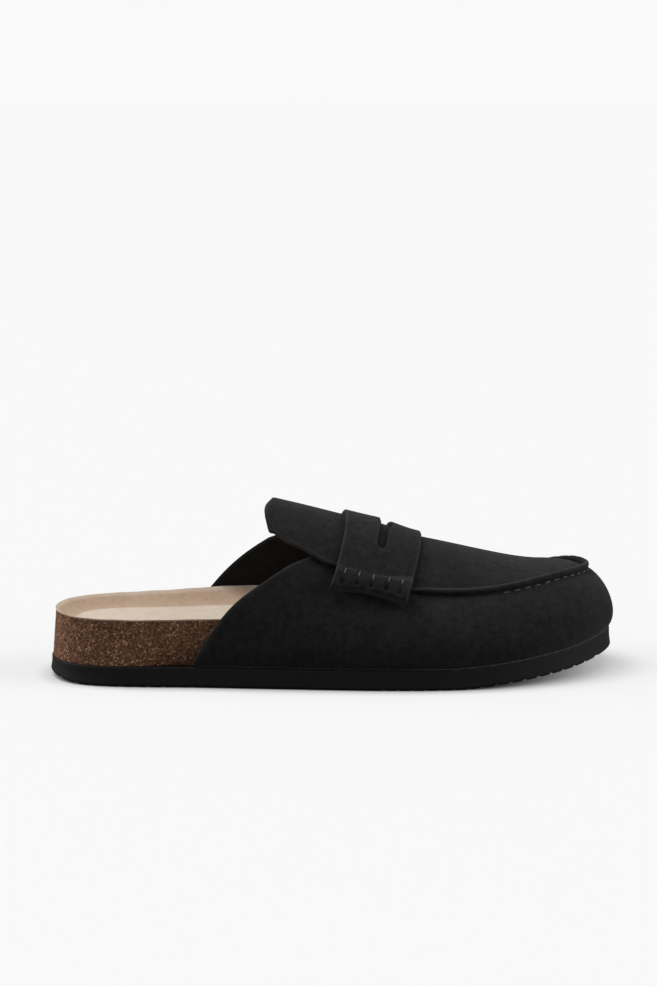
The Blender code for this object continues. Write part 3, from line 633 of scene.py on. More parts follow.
def sole_profile():
    """(inset, height) up the side of the outsole."""
    turn = [(math.sin(a), math.cos(a)) for a in quarter_turn(9)]
    low = [(SOLE_LOW_ROUND * (1 - s) - OUTSOLE_FLARE, SOLE_LOW_ROUND * (1 - c)) for s, c in turn]
    side = []
    for share in np.linspace(0.0, 1.0, 9)[1:-1]:
        height = SOLE_LOW_ROUND + (OUTSOLE_THICKNESS - SOLE_LOW_ROUND - SOLE_TOP_ROUND) * share
        side.append((-OUTSOLE_FLARE * (1 - share) + SOLE_HOLLOW * math.sin(math.pi * share), height))
    top = [(SOLE_TOP_ROUND * (1 - c), OUTSOLE_THICKNESS - SOLE_TOP_ROUND * (1 - s)) for s, c in turn[::2]]
    return low + side + top


def make_sole(material):
    stations = np.linspace(0.0, TIP, SOLE_STATIONS)
    profile = sole_profile()

    def ring_point(p, inset, height):
        flat = inset_point(p, np.full(p.x.shape, inset))
        at_heel = spring(p.x) * (1 - height / OUTSOLE_THICKNESS)
        base = np.where(p.x < HEEL_SPRING_END, at_heel, spring(np.minimum(p.x, SHOE_LENGTH)))
        return joined(flat, base + height)

    sides = []
    for p in both_sides(stations):
        sides.append(np.stack([ring_point(p, inset, height) for inset, height in profile], axis=1))
    under = bridge(sides, 0, np.linspace(0, 1, 64))
    under[..., 2] = spring(under[..., 0])
    for sheet in (*sides, under):
        local = sheet[..., 2] - spring(sheet[..., 0])
        cut = groove_depth(sheet[..., 0], sheet[..., 1])
        sheet[..., 2] += np.maximum(cut - np.maximum(local, 0.0), 0.0)
    top = bridge(sides, -1, np.array((0.0, 0.03, 0.1, 0.3, 0.5, 0.7, 0.9, 0.97, 1.0)))
    add_piece("sole_unit", [under, *sides, top], material, "outsole_rubber", "outsole", sharp=35)


# Footbed and sock


def cork_inset(p, height):
    """How far the cork's side stands in from the outline: more inside the upper than round the heel."""
    bare = CORK_SETBACK + CORK_TAPER * (height - OUTSOLE_THICKNESS) / FOOTBED_HEIGHT
    foot = sole_top(p.x) + GAP
    share = np.clip((height - foot) / (p.seam_height - foot), 0.0, 1.0)
    for _ in range(12):
        reached = wall_profile(p, share)[1]
        share = np.clip(share + (height - reached) / (p.seam_height - foot), 0.0, 1.0)
    inside_upper = wall_profile(p, share)[0] + 1.2 * UPPER_WALL + CORK_CLEARANCE
    covered = smooth_step(p.x, CORK_STEP_START, CORK_STEP_END)
    return bare + (inside_upper - bare) * covered


def rim_height(p):
    return sole_top(p.x) + p.rim


def cup_rise(share):
    """Share of the rim's rise over the middle that is left, share of the way in from the rim."""
    return (1.0 - np.minimum(share / CUP_WALL, 1.0)) ** CUP_STEEPNESS


def middle_point(station):
    outer, inner = both_sides(row_station(station))
    return np.stack([(outer.x + inner.x) / 2, (outer.y + inner.y) / 2], axis=-1)


def cup_sheet(edges, centre, middle, shares, depth):
    """A sheet from the two sides' edges down into the cup, depth below it, at shares of the way in."""
    halves = []
    for edge in edges:
        flat = edge[:, None, :2] + (centre - edge[:, :2])[:, None] * shares[None, :, None]
        rise = (edge[:, 2] - middle)[:, None] * cup_rise(shares[None, :])
        halves.append(joined(flat, middle[:, None] + (rise - depth)))
    return np.concatenate([halves[0], halves[1][:, -2::-1]], axis=1)


def bed_grid(shares, depth):
    """A sheet that follows the footbed, depth below the sock's top, at shares of the way to the middle."""
    stations = np.linspace(0.0, TIP, BED_STATIONS)
    centre = middle_point(stations)
    middle = sole_top(centre[..., 0]) + place(row_station(stations)).middle
    edges = []
    for p in both_sides(stations):
        rim = rim_height(p)
        inset = np.maximum(cork_inset(p, rim), cork_inset(p, rim - SOCK_THICKNESS)) - SOCK_OVERHANG
        edges.append(joined(inset_point(p, inset), rim))
    return cup_sheet(edges, centre, middle, shares, depth)


def bed_shares(radius):
    near = radius * (1 - np.cos(quarter_turn(6))) / BED_SPAN
    wall = np.linspace(radius / BED_SPAN, CUP_WALL, 24)[1:]
    return np.concatenate([near, wall, np.linspace(CUP_WALL, 1.0, 16)[1:]])


def pitted(sheet, amount, scale):
    """The sheet with its points moved in and out by a fine noise, as cut cork is."""
    moved = sheet.copy()
    centre = sheet.mean(axis=(0, 1))
    for row in moved:
        for point in row:
            step = noise.noise(Vector(point) * scale) + 0.6 * noise.noise(Vector(point) * scale * 2.3)
            away = point[:2] - centre[:2]
            point[:2] += away / max(np.linalg.norm(away), 1e-6) * amount * step
    return moved


def make_cork(material):
    stations = np.linspace(0.0, TIP, CORK_STATIONS)
    sides = []
    for p in both_sides(stations):
        low = sole_top(p.x) + GAP
        high = rim_height(p) - SOCK_THICKNESS - GAP
        rows = []
        for share in np.linspace(0, 1, 30):
            height = low + (high - CORK_ROUND - low) * share
            rows.append(joined(inset_point(p, cork_inset(p, height)), height))
        for angle in quarter_turn(6)[1:]:
            height = high - CORK_ROUND * (1 - math.sin(angle))
            inset = cork_inset(p, high) + CORK_ROUND * (1 - math.cos(angle))
            rows.append(joined(inset_point(p, inset), height))
        side = np.stack(rows, axis=1)
        side[:, 1:-1] = pitted(side[:, 1:-1], CORK_PIT, 900.0)
        sides.append(side)
    foot = bridge(sides, 0, np.linspace(0, 1, 17))
    centre = middle_point(stations)
    middle = sole_top(centre[..., 0]) + place(row_station(stations)).middle - SOCK_THICKNESS - GAP
    steps = np.concatenate([np.linspace(0, CUP_WALL, 14)[:-1], np.linspace(CUP_WALL, 1, 8)])
    sink = CORK_SINK * np.minimum(steps * 20, 1.0)
    top = cup_sheet([side[:, -1] for side in sides], centre, middle, steps, sink)
    add_piece("cork_footbed", [foot, *sides, top], material, "cork", "footbed")


def make_sock(material):
    radius = 0.49 * SOCK_THICKNESS
    shares = bed_shares(radius)
    distance = np.minimum(shares, 1.0) * BED_SPAN
    half = thickness_at(distance, SOCK_THICKNESS, radius)
    top = bed_grid(shares, SOCK_THICKNESS / 2 - half)
    under = bed_grid(shares, SOCK_THICKNESS / 2 + half)
    for sheet in (top, under):
        sheet[..., 2] += SOCK_WAVE * np.sin(sheet[..., 0] * 340.0) * np.sin(sheet[..., 1] * 290.0 + 1.0)
    # Painted light: the cup's floor is paler, as if lit, than its wall, as if in shade, and a painted
    # highlight runs along the rim
    lit_floor = smooth_step(shares, 0.86 * CUP_WALL, 1.05 * CUP_WALL)
    wear_and_light = np.maximum(lit_floor, 0.8 * (1 - smooth_step(distance, 0.0010, 0.0030)))
    wear_and_light = mirrored(wear_and_light, wear_and_light)
    sheets = [top, under]
    for column in (0, -1):
        sheets.append(np.stack([top[:, column], under[:, column]]))
    add_piece("suede_sock", sheets, material, "sock_suede", "insole", wear_and_light=[np.clip(wear_and_light, 0, 1)[None, :]])


# Upper


def collar_station(across, inner):
    """Station of the upper's free edge at this height of its wall."""
    share = COLLAR_EDGE.at(across)[..., 1 if inner else 0]
    return station_at(COLLAR_FOOT + share * (THROAT - COLLAR_FOOT), across, inner)


def upper_faces(outside_lift, inside_lift, setback, radius):
    """Outer and inner faces of a layer of the upper, with its collar edge rounded and set back."""
    reach = edge_spaced(COLLAR_SPAN, SHEET_STEP, radius, both=False)
    thickness = outside_lift - inside_lift
    half = thickness_at(reach, thickness, radius)[None, :]
    halves = {"outside": [], "inside": []}
    for inner in (False, True):
        start = collar_station(UPPER_ROWS, inner)
        start = (2 * TIP - start if inner else start) + setback / PER_STATION
        along = start[:, None] + (TIP - start)[:, None] * (reach / COLLAR_SPAN)[None, :]
        station = 2 * TIP - along if inner else along
        across = UPPER_ROWS[:, None]
        crease = seam_crease(along, across)
        middle = (outside_lift + inside_lift) / 2
        halves["outside"].append(over_last(station, across, middle + half + crease))
        halves["inside"].append(over_last(station, across, middle - half + crease))
    faces = []
    for outer, inner in halves.values():
        sheet = mirrored(outer, inner)
        sheet[:, -1] = (sheet[:, -1] + sheet[::-1, -1]) / 2
        faces.append(sheet)
    return faces, np.clip(1 - reach / COLLAR_WEAR, 0, 1)[None, :]


def seam_crease(along, across):
    """How far the leather is drawn in on both sides of the seam ridge, in front of the strap."""
    front = smooth_step(along * PER_STATION, STRAP_BACK, STRAP_FRONT)
    return -front * sum(c.depth * np.exp(-(((across - c.across) / c.width) ** 2)) for c in CREASES)


def make_upper(suede, lining):
    (outside, inside), wear_and_light = upper_faces(0.0, -SUEDE_LAYER, 0.0, COLLAR_ROUND)
    sheets = shell_sheets(outside, inside, ends=(True, False))
    add_piece("upper_suede", sheets, suede, "black_suede", "upper", wear_and_light=[wear_and_light])
    lifts = (-SUEDE_LAYER - LINING_GAP, -UPPER_WALL)
    outside, inside = upper_faces(*lifts, LINING_SETBACK, LINING_ROUND)[0]
    sheets = shell_sheets(outside, inside, ends=(True, False))
    add_piece("upper_lining", sheets, lining, "black_suede")


# Seam ridge


def seam_path(start_along, step):
    """Stations along the seam, evenly spaced, from this length on the outer side round to the inner side."""
    first = float(station_at(start_along, SEAM, False))
    last = float(station_at(start_along, SEAM, True))
    stations = np.linspace(first, last, 1600)
    points = last_point(stations, SEAM)
    run = np.concatenate([[0.0], np.cumsum(np.linalg.norm(np.diff(points, axis=0), axis=1))])
    even = np.linspace(0.0, run[-1], int(run[-1] / step) + 1)
    return np.interp(even, run, stations), even


def make_ridge(material):
    stations, run = seam_path(STRAP_BACK + 0.003, 0.0006)
    share = ridge_share(stations)
    stitch = (run / SEAM_PITCH) % 1.0
    pucker = 1.0 - 0.10 * np.exp(-(((stitch - 0.5) / 0.13) ** 2))
    wander = np.array([noise.noise(Vector((0.0, 0.0, r * 260.0))) for r in run])
    points = over_last(stations, SEAM, RIDGE_HEIGHT * (0.41 + 0.03 * wander) * share)
    normals = last_normal(stations, SEAM)
    up = RIDGE_HEIGHT * 0.46 * share * pucker
    across = RIDGE_WIDTH * 0.42 * share**0.5 * (1 + 0.04 * wander) * pucker
    sheet = tube_sheet(points, normals, across, up, sides=28)
    rings = (sheet[0], sheet[-1])
    caps = [np.stack([np.broadcast_to(ring.mean(axis=0), ring.shape), ring]) for ring in rings]
    # Painted highlight: the ridge's half that faces away from the upper is paler along its crest
    wear_and_light = np.clip(np.sin(np.linspace(0, 2 * math.pi, 29)), 0, 1) ** 2 * 0.8
    add_piece("seam_ridge", [sheet, *caps], material, "black_suede", wear_and_light=[wear_and_light[None, :]])


def make_vamp_stitches(material):
    stations, run = seam_path(VAMP_STITCH_START, 0.0003)
    count = int(run[-1] / SEAM_PITCH)
    margin = (run[-1] - count * SEAM_PITCH) / 2
    sink = np.linspace(-1, 1, 15) ** 6
    sheets = []
    for i in range(count):
        reach = margin + (i + 0.5) * SEAM_PITCH + np.linspace(-0.5, 0.5, 15) * VAMP_STITCH_LENGTH
        at = np.interp(reach, run, stations)
        across = beside_seam(at, np.full(at.shape, -VAMP_STITCH_DROP))
        lift = seam_crease(np.minimum(at, 2 * TIP - at), across) + 0.00025 - 0.0003 * sink
        sheets.append(stitch_sheet(over_last(at, across, lift), last_normal(at, across), THREAD_RADIUS))
    add_piece("vamp_stitches", sheets, material, "black_suede")


def make_sole_lip(material):
    """The thin edge of leather where the upper meets the sole, painted pale as a highlight along the joint.
    """
    first, last = (float(collar_station(SOLE_EDGE, inner)) for inner in (False, True))
    stations = np.linspace(first + 0.05, last - 0.05, 900)
    run = np.arange(len(stations)) * 0.0007
    wander = np.array([noise.noise(Vector((5.0, 0.0, r * 300.0))) for r in run])
    points = over_last(stations, LIP_PLACE, LIP_RADIUS * (0.2 + 0.5 * wander))
    normals = last_normal(stations, 0.02)
    ends = np.sqrt(np.clip(np.minimum(run, run[::-1]) / 0.004, 0.0, 1.0)) + 1e-4
    radius = LIP_RADIUS * ends * (0.3 + 0.7 * smooth_step(points[:, 0], 0.160, 0.230))
    sheet = tube_sheet(points, normals, radius, radius * (1 + 0.25 * wander), sides=8)
    add_piece("sole_lip", [sheet], material, "black_suede")


# Tongue


def tongue_thickness(along, room):
    """The tongue's thickness and this much room: it thins out towards the strap's front."""
    return (room + TONGUE_THICKNESS) * (1.0 - smooth_step(along, TONGUE_THINNING + room, STRAP_FRONT))


def make_tongue(material):
    length = TONGUE_FRONT - TONGUE_TIP
    reach = edge_spaced(length, SHEET_STEP)
    edge = SEAM + TONGUE_SIDE.at(reach / length)[..., 0]
    rows = edge_spaced(TONGUE_SPAN, SHEET_STEP, both=False) / TONGUE_SPAN
    across = edge[None, :] + (CROWN - edge)[None, :] * rows[:, None]
    along = (TONGUE_TIP + reach)[None, :]
    at_end = (1 - reach / length)[None, :] ** 4
    below = np.clip(1 - rows, 0, 1)[:, None]
    bulge = (TONGUE_END_CUT * below**8 - TONGUE_END_ROUND * np.sin(math.pi * below**1.6)) * at_end
    twist = TONGUE_END_TWIST * np.sin(math.pi / 2 * np.minimum(2 * below, 1.0)) * at_end
    side_distance = rows[:, None] * (CROWN - edge)[None, :] * TONGUE_SPAN
    distance = np.minimum(side_distance, np.minimum(reach, length - reach)[None, :])
    thickness = tongue_thickness(along, 0.0)
    half = thickness_at(distance, TONGUE_THICKNESS) * thickness / TONGUE_THICKNESS
    middle = GAP + thickness / 2
    faces = []
    for lift in (middle + half, middle - half):
        outer = leaning_point(along + bulge, across, False, lift)
        faces.append(mirrored(outer, leaning_point(along + twist, across, True, lift)))
    wear_and_light = np.clip(1 - distance / TONGUE_WEAR, 0, 1)
    wear_and_light = mirrored(wear_and_light, wear_and_light)
    add_piece("tongue_flap", shell_sheets(*faces), material, "black_suede", "tongue", wear_and_light=[wear_and_light])


# Strap


def strap_under(along, across, bulge):
    """How far the strap's underside stands off the upper: over the tongue's front and over the seam ridge."""
    over_tongue = tongue_thickness(along, GAP) * np.where(across < SEAM, bulge, 1.0)
    return GAP + np.maximum(over_tongue, bulge * (0.55 * RIDGE_HEIGHT + STRAP_ROLL))


def roll_bulge(distance):
    """Share of the roll's height this far up from the seam: round below it and easing off above it."""
    above = np.cos(math.pi / 2 * np.clip(distance / ROLL_SPAN, 0.0, 1.0)) ** 2
    below = np.sqrt(1 - np.clip(-distance / STRAP_DROP, 0.0, 1.0) ** 2.4)
    return np.where(distance > 0, above, below)


def roll_relief(along, distance):
    """How far the roll stands out from a plain sheet: puffed between its stitches, dimpled below them."""
    share = (along - STRAP_BACK) / STRAP_WIDTH
    on_roll = smooth_step(distance, -0.0066, -0.0050) * (1 - smooth_step(distance, 0.0014, 0.0022))
    relief = ROLL_PUFF * on_roll
    for stitch in STRAP_STITCHES:
        off = (share - stitch) * STRAP_WIDTH
        groove = np.exp(-((off / 0.0011) ** 2)) * smooth_step(distance, -0.0052, -0.0030)
        groove = groove * (1 - smooth_step(distance, 0.0004, 0.0018))
        dimple = np.exp(-((off / 0.0016) ** 2) - (((distance + 0.0040) / 0.0012) ** 2))
        relief = relief - STITCH_SINK * groove - DIMPLE_DEPTH * dimple
    return relief


def slot_reach(side):
    """Half the width of the strap's slot this far from the shoe's middle."""
    side = np.abs(side)
    width = SLOT_WIDTH + (SLOT_MIDDLE - SLOT_WIDTH) * np.exp(-((side / (0.11 * SLOT_LENGTH)) ** 2))
    into_end = np.clip((side - SLOT_LENGTH / 2) / (SLOT_WIDTH / 2) + 1.0, 0.0, 1.0)
    return 0.5 * width * np.sqrt(1 - into_end**2)


def slot_shift(side):
    """How far the slot's middle line lies behind its place on the crown."""
    return SLOT_SWEEP * smooth_step(np.abs(side), 0.0, 0.3 * SLOT_LENGTH)


def strap_across(along, distance, half_apron, arch=1.0):
    """Across value on the strap this far up from the seam, or down from it where distance is negative."""
    up = SEAM + np.clip(distance / half_apron, 0.0, 1.0)
    down = beside_seam(station_at(along, SEAM, False), np.minimum(distance, -1e-9) * arch)
    return np.where(distance >= 0, up, down)


def strap_rows(half_apron):
    """Distances from the middle to the strap's end, close together at the slot's end and on the roll."""
    straight = np.linspace(0, SLOT_LENGTH / 2 - SLOT_WIDTH / 2, 30)[:-1]
    turn = SLOT_LENGTH / 2 - SLOT_WIDTH / 2 * (1 - np.sin(quarter_turn(16)))
    slot_turn = np.concatenate([straight, turn])
    to_roll = np.linspace(SLOT_LENGTH / 2, half_apron - ROLL_REACH, 8)[1:]
    roll = np.linspace(half_apron - ROLL_REACH, half_apron + STRAP_DROP - CUT_EDGE_ROUND, 38)[1:]
    end = half_apron + STRAP_DROP - CUT_EDGE_ROUND * (1 - np.sin(quarter_turn(6)))[1:]
    return np.concatenate([slot_turn, to_roll, roll, end])


def strap_half(back, front, half_apron, rows, slot_outline, inner):
    """Outer and inner faces, and rubbed edge, of half of the strap's part between two lines."""
    shares = edge_spaced(1.0, 1.0 / 40, 0.045)
    along = back[:, None] + (front - back)[:, None] * shares[None, :]
    down = (half_apron - rows)[:, None]
    flare = STRAP_FLARE * np.clip((STRAP_FRONT - along) / STRAP_WIDTH, 0, 1)
    flare = flare * np.clip(down / half_apron, 0, 1)
    arch = 1 - ROLL_ARCH / STRAP_DROP * np.sin(math.pi * np.clip((along - STRAP_BACK) / STRAP_WIDTH, 0, 1))
    across = np.where(rows[:, None] <= 0.0, CROWN, strap_across(along, down, half_apron, arch))
    points = np.stack(np.broadcast_arrays(along, rows[:, None]), axis=-1)
    to_slot = np.sqrt(((points[:, :, None] - slot_outline[None, None]) ** 2).sum(-1)).min(axis=2)
    to_edge = np.minimum(along - STRAP_BACK, STRAP_FRONT - along)
    to_edge = np.minimum(to_edge, (half_apron + STRAP_DROP - rows)[:, None])
    half = thickness_at(np.maximum(np.minimum(to_slot, to_edge), 0.0), STRAP_THICKNESS)
    middle = strap_under(along, across, roll_bulge(down)) + STRAP_THICKNESS / 2
    lifts = (middle + half + roll_relief(along, down), middle - half)
    faces = [leaning_point(along - flare, across, inner, lift)[::-1] for lift in lifts]
    wear_and_light = np.maximum(1 - to_edge / STRAP_WEAR, SLOT_WEAR * (1 - to_slot / SLOT_WEAR_WIDTH))
    return faces, np.clip(wear_and_light, 0, 1)[::-1]


def make_strap(material):
    middle = STRAP_BACK + STRAP_WIDTH * SLOT_PLACE
    station = station_at(middle, CROWN, False)
    half_apron = abs(float(crown_point(station)[1] - seam_point(place(station))[1]))
    rows = strap_rows(half_apron)
    reach = np.where(rows < SLOT_LENGTH / 2 - 1e-7, slot_reach(rows), 0.0)
    turn = SLOT_LENGTH / 2 - SLOT_WIDTH / 2 * (1 - np.sin(quarter_turn(30)))
    side = np.concatenate([np.linspace(0, turn[0], 60)[:-1], turn])
    in_slot = np.abs(np.arange(2 * len(rows) - 1) - (len(rows) - 1)) <= int((rows < SLOT_LENGTH / 2).sum())
    sheets, wear_and_light = [], []
    for behind in (True, False):
        halves = []
        for inner in (False, True):
            swept = 0.0 if inner else 1.0
            centre = middle - swept * slot_shift(side)
            outline = [np.stack([centre + s * slot_reach(side), side], -1) for s in (-1, 1)]
            at_slot = middle - swept * slot_shift(np.minimum(rows, SLOT_LENGTH / 2))
            back = np.full(rows.shape, STRAP_BACK) if behind else at_slot + reach
            front = at_slot - reach if behind else np.full(rows.shape, STRAP_FRONT)
            halves.append(strap_half(back, front, half_apron, rows, np.concatenate(outline), inner))
        (outer_faces, outer_worn), (inner_faces, inner_worn) = halves
        outside, inside = (mirrored(one, other) for one, other in zip(outer_faces, inner_faces))
        sheets += [outside, inside]
        wear_and_light += [np.concatenate([outer_worn, inner_worn[-2::-1]]), None]
        slot_column, free_column = (-1, 0) if behind else (0, -1)
        sheets.append(np.stack([outside[:, free_column], inside[:, free_column]]))
        sheets.append(np.stack([outside[in_slot, slot_column], inside[in_slot, slot_column]]))
        wear_and_light += [None, None]
        for row in (0, -1):
            sheets.append(np.stack([outside[row], inside[row]]))
            wear_and_light.append(None)
    add_piece("saddle_strap", sheets, material, "black_suede", "strap", wear_and_light=wear_and_light)
    return half_apron


def make_strap_stitches(material, half_apron):
    sheets = []
    distance = np.linspace(0.0016, -0.0004, 12)
    for inner in (False, True):
        for stitch in STRAP_STITCHES:
            along = np.full(distance.shape, STRAP_BACK + stitch * STRAP_WIDTH)
            across = strap_across(along, distance, half_apron)
            bulge = roll_bulge(distance)
            sink = np.abs(np.linspace(-1, 1, len(distance))) ** 5
            lift = strap_under(along, across, bulge) + STRAP_THICKNESS + roll_relief(along, distance)
            points = leaning_point(along, across, inner, lift + 0.00020 - 0.0008 * sink)
            normals = last_normal(station_at(along, across, inner), across)
            sheets.append(stitch_sheet(points, normals, 1.1 * THREAD_RADIUS))
    add_piece("strap_stitches", sheets, material, "black_suede")


# Materials


def new_group(name, inputs, outputs):
    """An empty shader group with these inputs, at their first values, and these outputs."""
    group = bpy.data.node_groups.new(name, "ShaderNodeTree")
    for label, value in inputs.items():
        socket = group.interface.new_socket(label, in_out="INPUT", socket_type="NodeSocketFloat")
        socket.default_value = value
    for label in outputs:
        group.interface.new_socket(label, in_out="OUTPUT", socket_type="NodeSocketFloat")
    return group, group.nodes.new("NodeGroupInput"), group.nodes.new("NodeGroupOutput")


def add_node(tree, kind, links=(), **values):
    """A node with its properties set, and its inputs set or linked by name or number."""
    node = tree.nodes.new(kind)
    for label, value in values.items():
        setattr(node, label, value)
    for label, value in dict(links).items():
        socket = node.inputs[label]
        if isinstance(value, bpy.types.NodeSocket):
            tree.links.new(value, socket)
        else:
            socket.default_value = value
    return node


def maths(tree, operation, first, second):
    return add_node(tree, "ShaderNodeMath", {0: first, 1: second}, operation=operation).outputs[0]


def blend(tree, share, first, second):
    return add_node(tree, "ShaderNodeMix", {0: share, 6: first, 7: second}, data_type="RGBA").outputs[2]


def mixed(tree, *parts):
    """The sum of some values, each times its weight."""
    total = None
    for value, weight in parts:
        part = maths(tree, "MULTIPLY", value, weight)
        total = part if total is None else maths(tree, "ADD", total, part)
    return total


def ranged(tree, value, low, high, start=0.0, end=1.0):
    """A value between start and end as one between low and high."""
    links = {"Value": value, "From Min": start, "From Max": end, "To Min": low, "To Max": high}
    return add_node(tree, "ShaderNodeMapRange", links, clamp=True).outputs[0]


def object_coordinates(tree):
    return add_node(tree, "ShaderNodeTexCoord").outputs["Object"]


def stretched(tree, coordinates, scale):
    return add_node(tree, "ShaderNodeMapping", {"Vector": coordinates, "Scale": scale}).outputs[0]


def noise_value(tree, coordinates, scale, detail=3.0, rough=0.55):
    links = {"Vector": coordinates, "Scale": scale, "Detail": detail, "Roughness": rough}
    return add_node(tree, "ShaderNodeTexNoise", links).outputs["Fac"]


def make_nap_group():
    """Brushed leather: shade varies in soft patches, and the fibres stand up as a fine relief."""
    inputs = {"Fibre Scale": 2200.0, "Patch Scale": 55.0, "Patch Share": 0.5}
    group, given, out = new_group("brushed_nap", inputs, ("Shade", "Relief"))
    where = object_coordinates(group)
    fibre_scale, patch_scale, share = (given.outputs[i] for i in range(3))
    fibre = noise_value(group, where, fibre_scale, 4.0, 0.6)
    tuft = noise_value(group, where, maths(group, "MULTIPLY", fibre_scale, 0.24), 3.0, 0.6)
    patch = noise_value(group, where, patch_scale, 4.0, 0.5)
    brushed = stretched(group, where, (1.0, 1.0, 0.35))
    stroke = noise_value(group, brushed, maths(group, "MULTIPLY", patch_scale, 5.0), 3.0, 0.6)
    soft = mixed(group, (patch, 0.6), (stroke, 0.4))
    fine = mixed(group, (fibre, 0.5), (tuft, 0.5))
    shade = mixed(group, (soft, share), (fine, maths(group, "SUBTRACT", 1.0, share)))
    group.links.new(ranged(group, shade, 0.0, 1.0, 0.34, 0.66), out.inputs["Shade"])
    group.links.new(fine, out.inputs["Relief"])
    return group


def make_granule_group():
    """Pressed cork: rounded granules of mixed browns, some pale and some nearly black, with dark gaps."""
    inputs = {"Granule Scale": 1250.0, "Gap Width": 0.10}
    group, given, out = new_group("cork_granules", inputs, ("Tone", "Gap", "Relief"))
    where = object_coordinates(group)
    wobble = add_node(group, "ShaderNodeTexNoise", {"Vector": where, "Scale": 700.0, "Detail": 2.0})
    links = {0: wobble.outputs["Color"], "Scale": 0.0008}
    offset = add_node(group, "ShaderNodeVectorMath", links, operation="SCALE").outputs[0]
    bent = add_node(group, "ShaderNodeVectorMath", {0: where, 1: offset}, operation="ADD").outputs[0]
    links = {"Vector": bent, "Scale": given.outputs["Granule Scale"]}
    cells = add_node(group, "ShaderNodeTexVoronoi", links, feature="F1")
    cell_tone = add_node(group, "ShaderNodeSeparateColor", {0: cells.outputs["Color"]}).outputs[0]
    edges = add_node(group, "ShaderNodeTexVoronoi", links, feature="DISTANCE_TO_EDGE")
    gap = ranged(group, edges.outputs["Distance"], 1.0, 0.0, 0.0, given.outputs["Gap Width"])
    fine = noise_value(group, where, 2600.0, 4.0, 0.65)
    tone = mixed(group, (cell_tone, 0.75), (fine, 0.25))
    relief = mixed(group, (tone, 0.6), (gap, -0.6))
    group.links.new(tone, out.inputs["Tone"])
    group.links.new(gap, out.inputs["Gap"])
    group.links.new(relief, out.inputs["Relief"])
    return group


def new_material(name, colour, constant):
    """A material, its tree and its shader, with constant values on the shader's own sockets."""
    material = bpy.data.materials.new(name)
    material.use_nodes = True
    tree = material.node_tree
    shader = tree.nodes["Principled BSDF"]
    for label, value in {"Base Color": (*colour, 1.0), **constant}.items():
        shader.inputs[label].default_value = value
    material.diffuse_color = (*colour, 1.0)
    return material, tree, shader


def feed(tree, shader, colour, roughness, height, distance):
    """Links the shader's colour and roughness, and a bump that makes height stand up this far."""
    bump = add_node(tree, "ShaderNodeBump", {"Height": height, "Distance": distance, "Strength": 1.0})
    links = {"Base Color": colour, "Roughness": roughness, "Normal": bump.outputs[0]}
    for label, output in links.items():
        tree.links.new(output, shader.inputs[label])


# Tones of brushed leather from dark to light, and its pale tone for rubbed edges and painted light, the
# scales of its fibres and its patches, the patches' share, the height of the nap, its roughness on light and
# on dark spots, and its sheen
Nap = namedtuple("Nap", "name dark light rubbed fibre patch share relief smooth rough sheen")
NAPS = (
    # Its pale tone covers rubbed edges and a painted highlight along the seam ridge's crest
    Nap(
        "black_suede", (0.0028, 0.0026, 0.0023), (0.0198, 0.0187, 0.0180), (0.034, 0.032, 0.031),
        1150.0, 70.0, 0.32, 0.00070, 0.88, 0.98, 0.06,
    ),
    Nap(
        "black_lining", (0.0040, 0.0038, 0.0036), (0.009, 0.0086, 0.0082), (0.02, 0.02, 0.02),
        1500.0, 80.0, 0.35, 0.00012, 0.74, 0.88, 0.02,
    ),
    # The sock's pale tone is painted light on the cup's floor and a painted highlight along its rim
    Nap(
        "beige_suede", (0.448, 0.308, 0.213), (0.62, 0.454, 0.337), (0.745, 0.643, 0.529),
        1500.0, 95.0, 0.35, 0.00040, 0.88, 0.97, 0.08,
    ),
    # The lip's pale tones are a painted highlight along the joint of upper and sole
    Nap(
        "pale_lip_highlight", (0.020, 0.019, 0.018), (0.085, 0.082, 0.079), (0.09, 0.09, 0.09),
        1200.0, 90.0, 0.40, 0.00020, 0.80, 0.95, 0.05,
    ),
)


def nap_material(look, group):
    """Brushed leather between two tones, paler where its edges are rubbed and where light is painted on: the
    sock's floor and rim, and the seam ridge's crest.
    """
    sheen = {"Sheen Weight": look.sheen, "Sheen Roughness": 0.45}
    constant = {"Roughness": look.rough, "Specular IOR Level": 0.22, **sheen}
    material, tree, shader = new_material(look.name, look.dark, constant)
    links = {"Fibre Scale": look.fibre, "Patch Scale": look.patch, "Patch Share": look.share}
    nap = add_node(tree, "ShaderNodeGroup", links, node_tree=group)
    shade = nap.outputs["Shade"]
    colour = blend(tree, shade, (*look.dark, 1), (*look.light, 1))
    wear_and_light = add_node(tree, "ShaderNodeAttribute", attribute_name="wear_and_light").outputs["Fac"]
    # The pale tone is blended in on rubbed edges and on painted light alike
    rub_and_light_share = maths(tree, "MULTIPLY", wear_and_light, ranged(tree, shade, 0.5, 1.0))
    colour = blend(tree, rub_and_light_share, colour, (*look.rubbed, 1))
    roughness = ranged(tree, shade, look.rough, look.smooth)
    feed(tree, shader, colour, roughness, nap.outputs["Relief"], look.relief)
    return material


# Cork's colours from its darkest to its palest granules
CORK_TONES = (
    (0.10, (0.052, 0.020, 0.009)),
    (0.28, (0.130, 0.049, 0.020)),
    (0.52, (0.230, 0.094, 0.040)),
    (0.78, (0.360, 0.160, 0.072)),
    (0.93, (0.84, 0.50, 0.28)),
)
CORK_GAP = (0.035, 0.016, 0.009, 1)


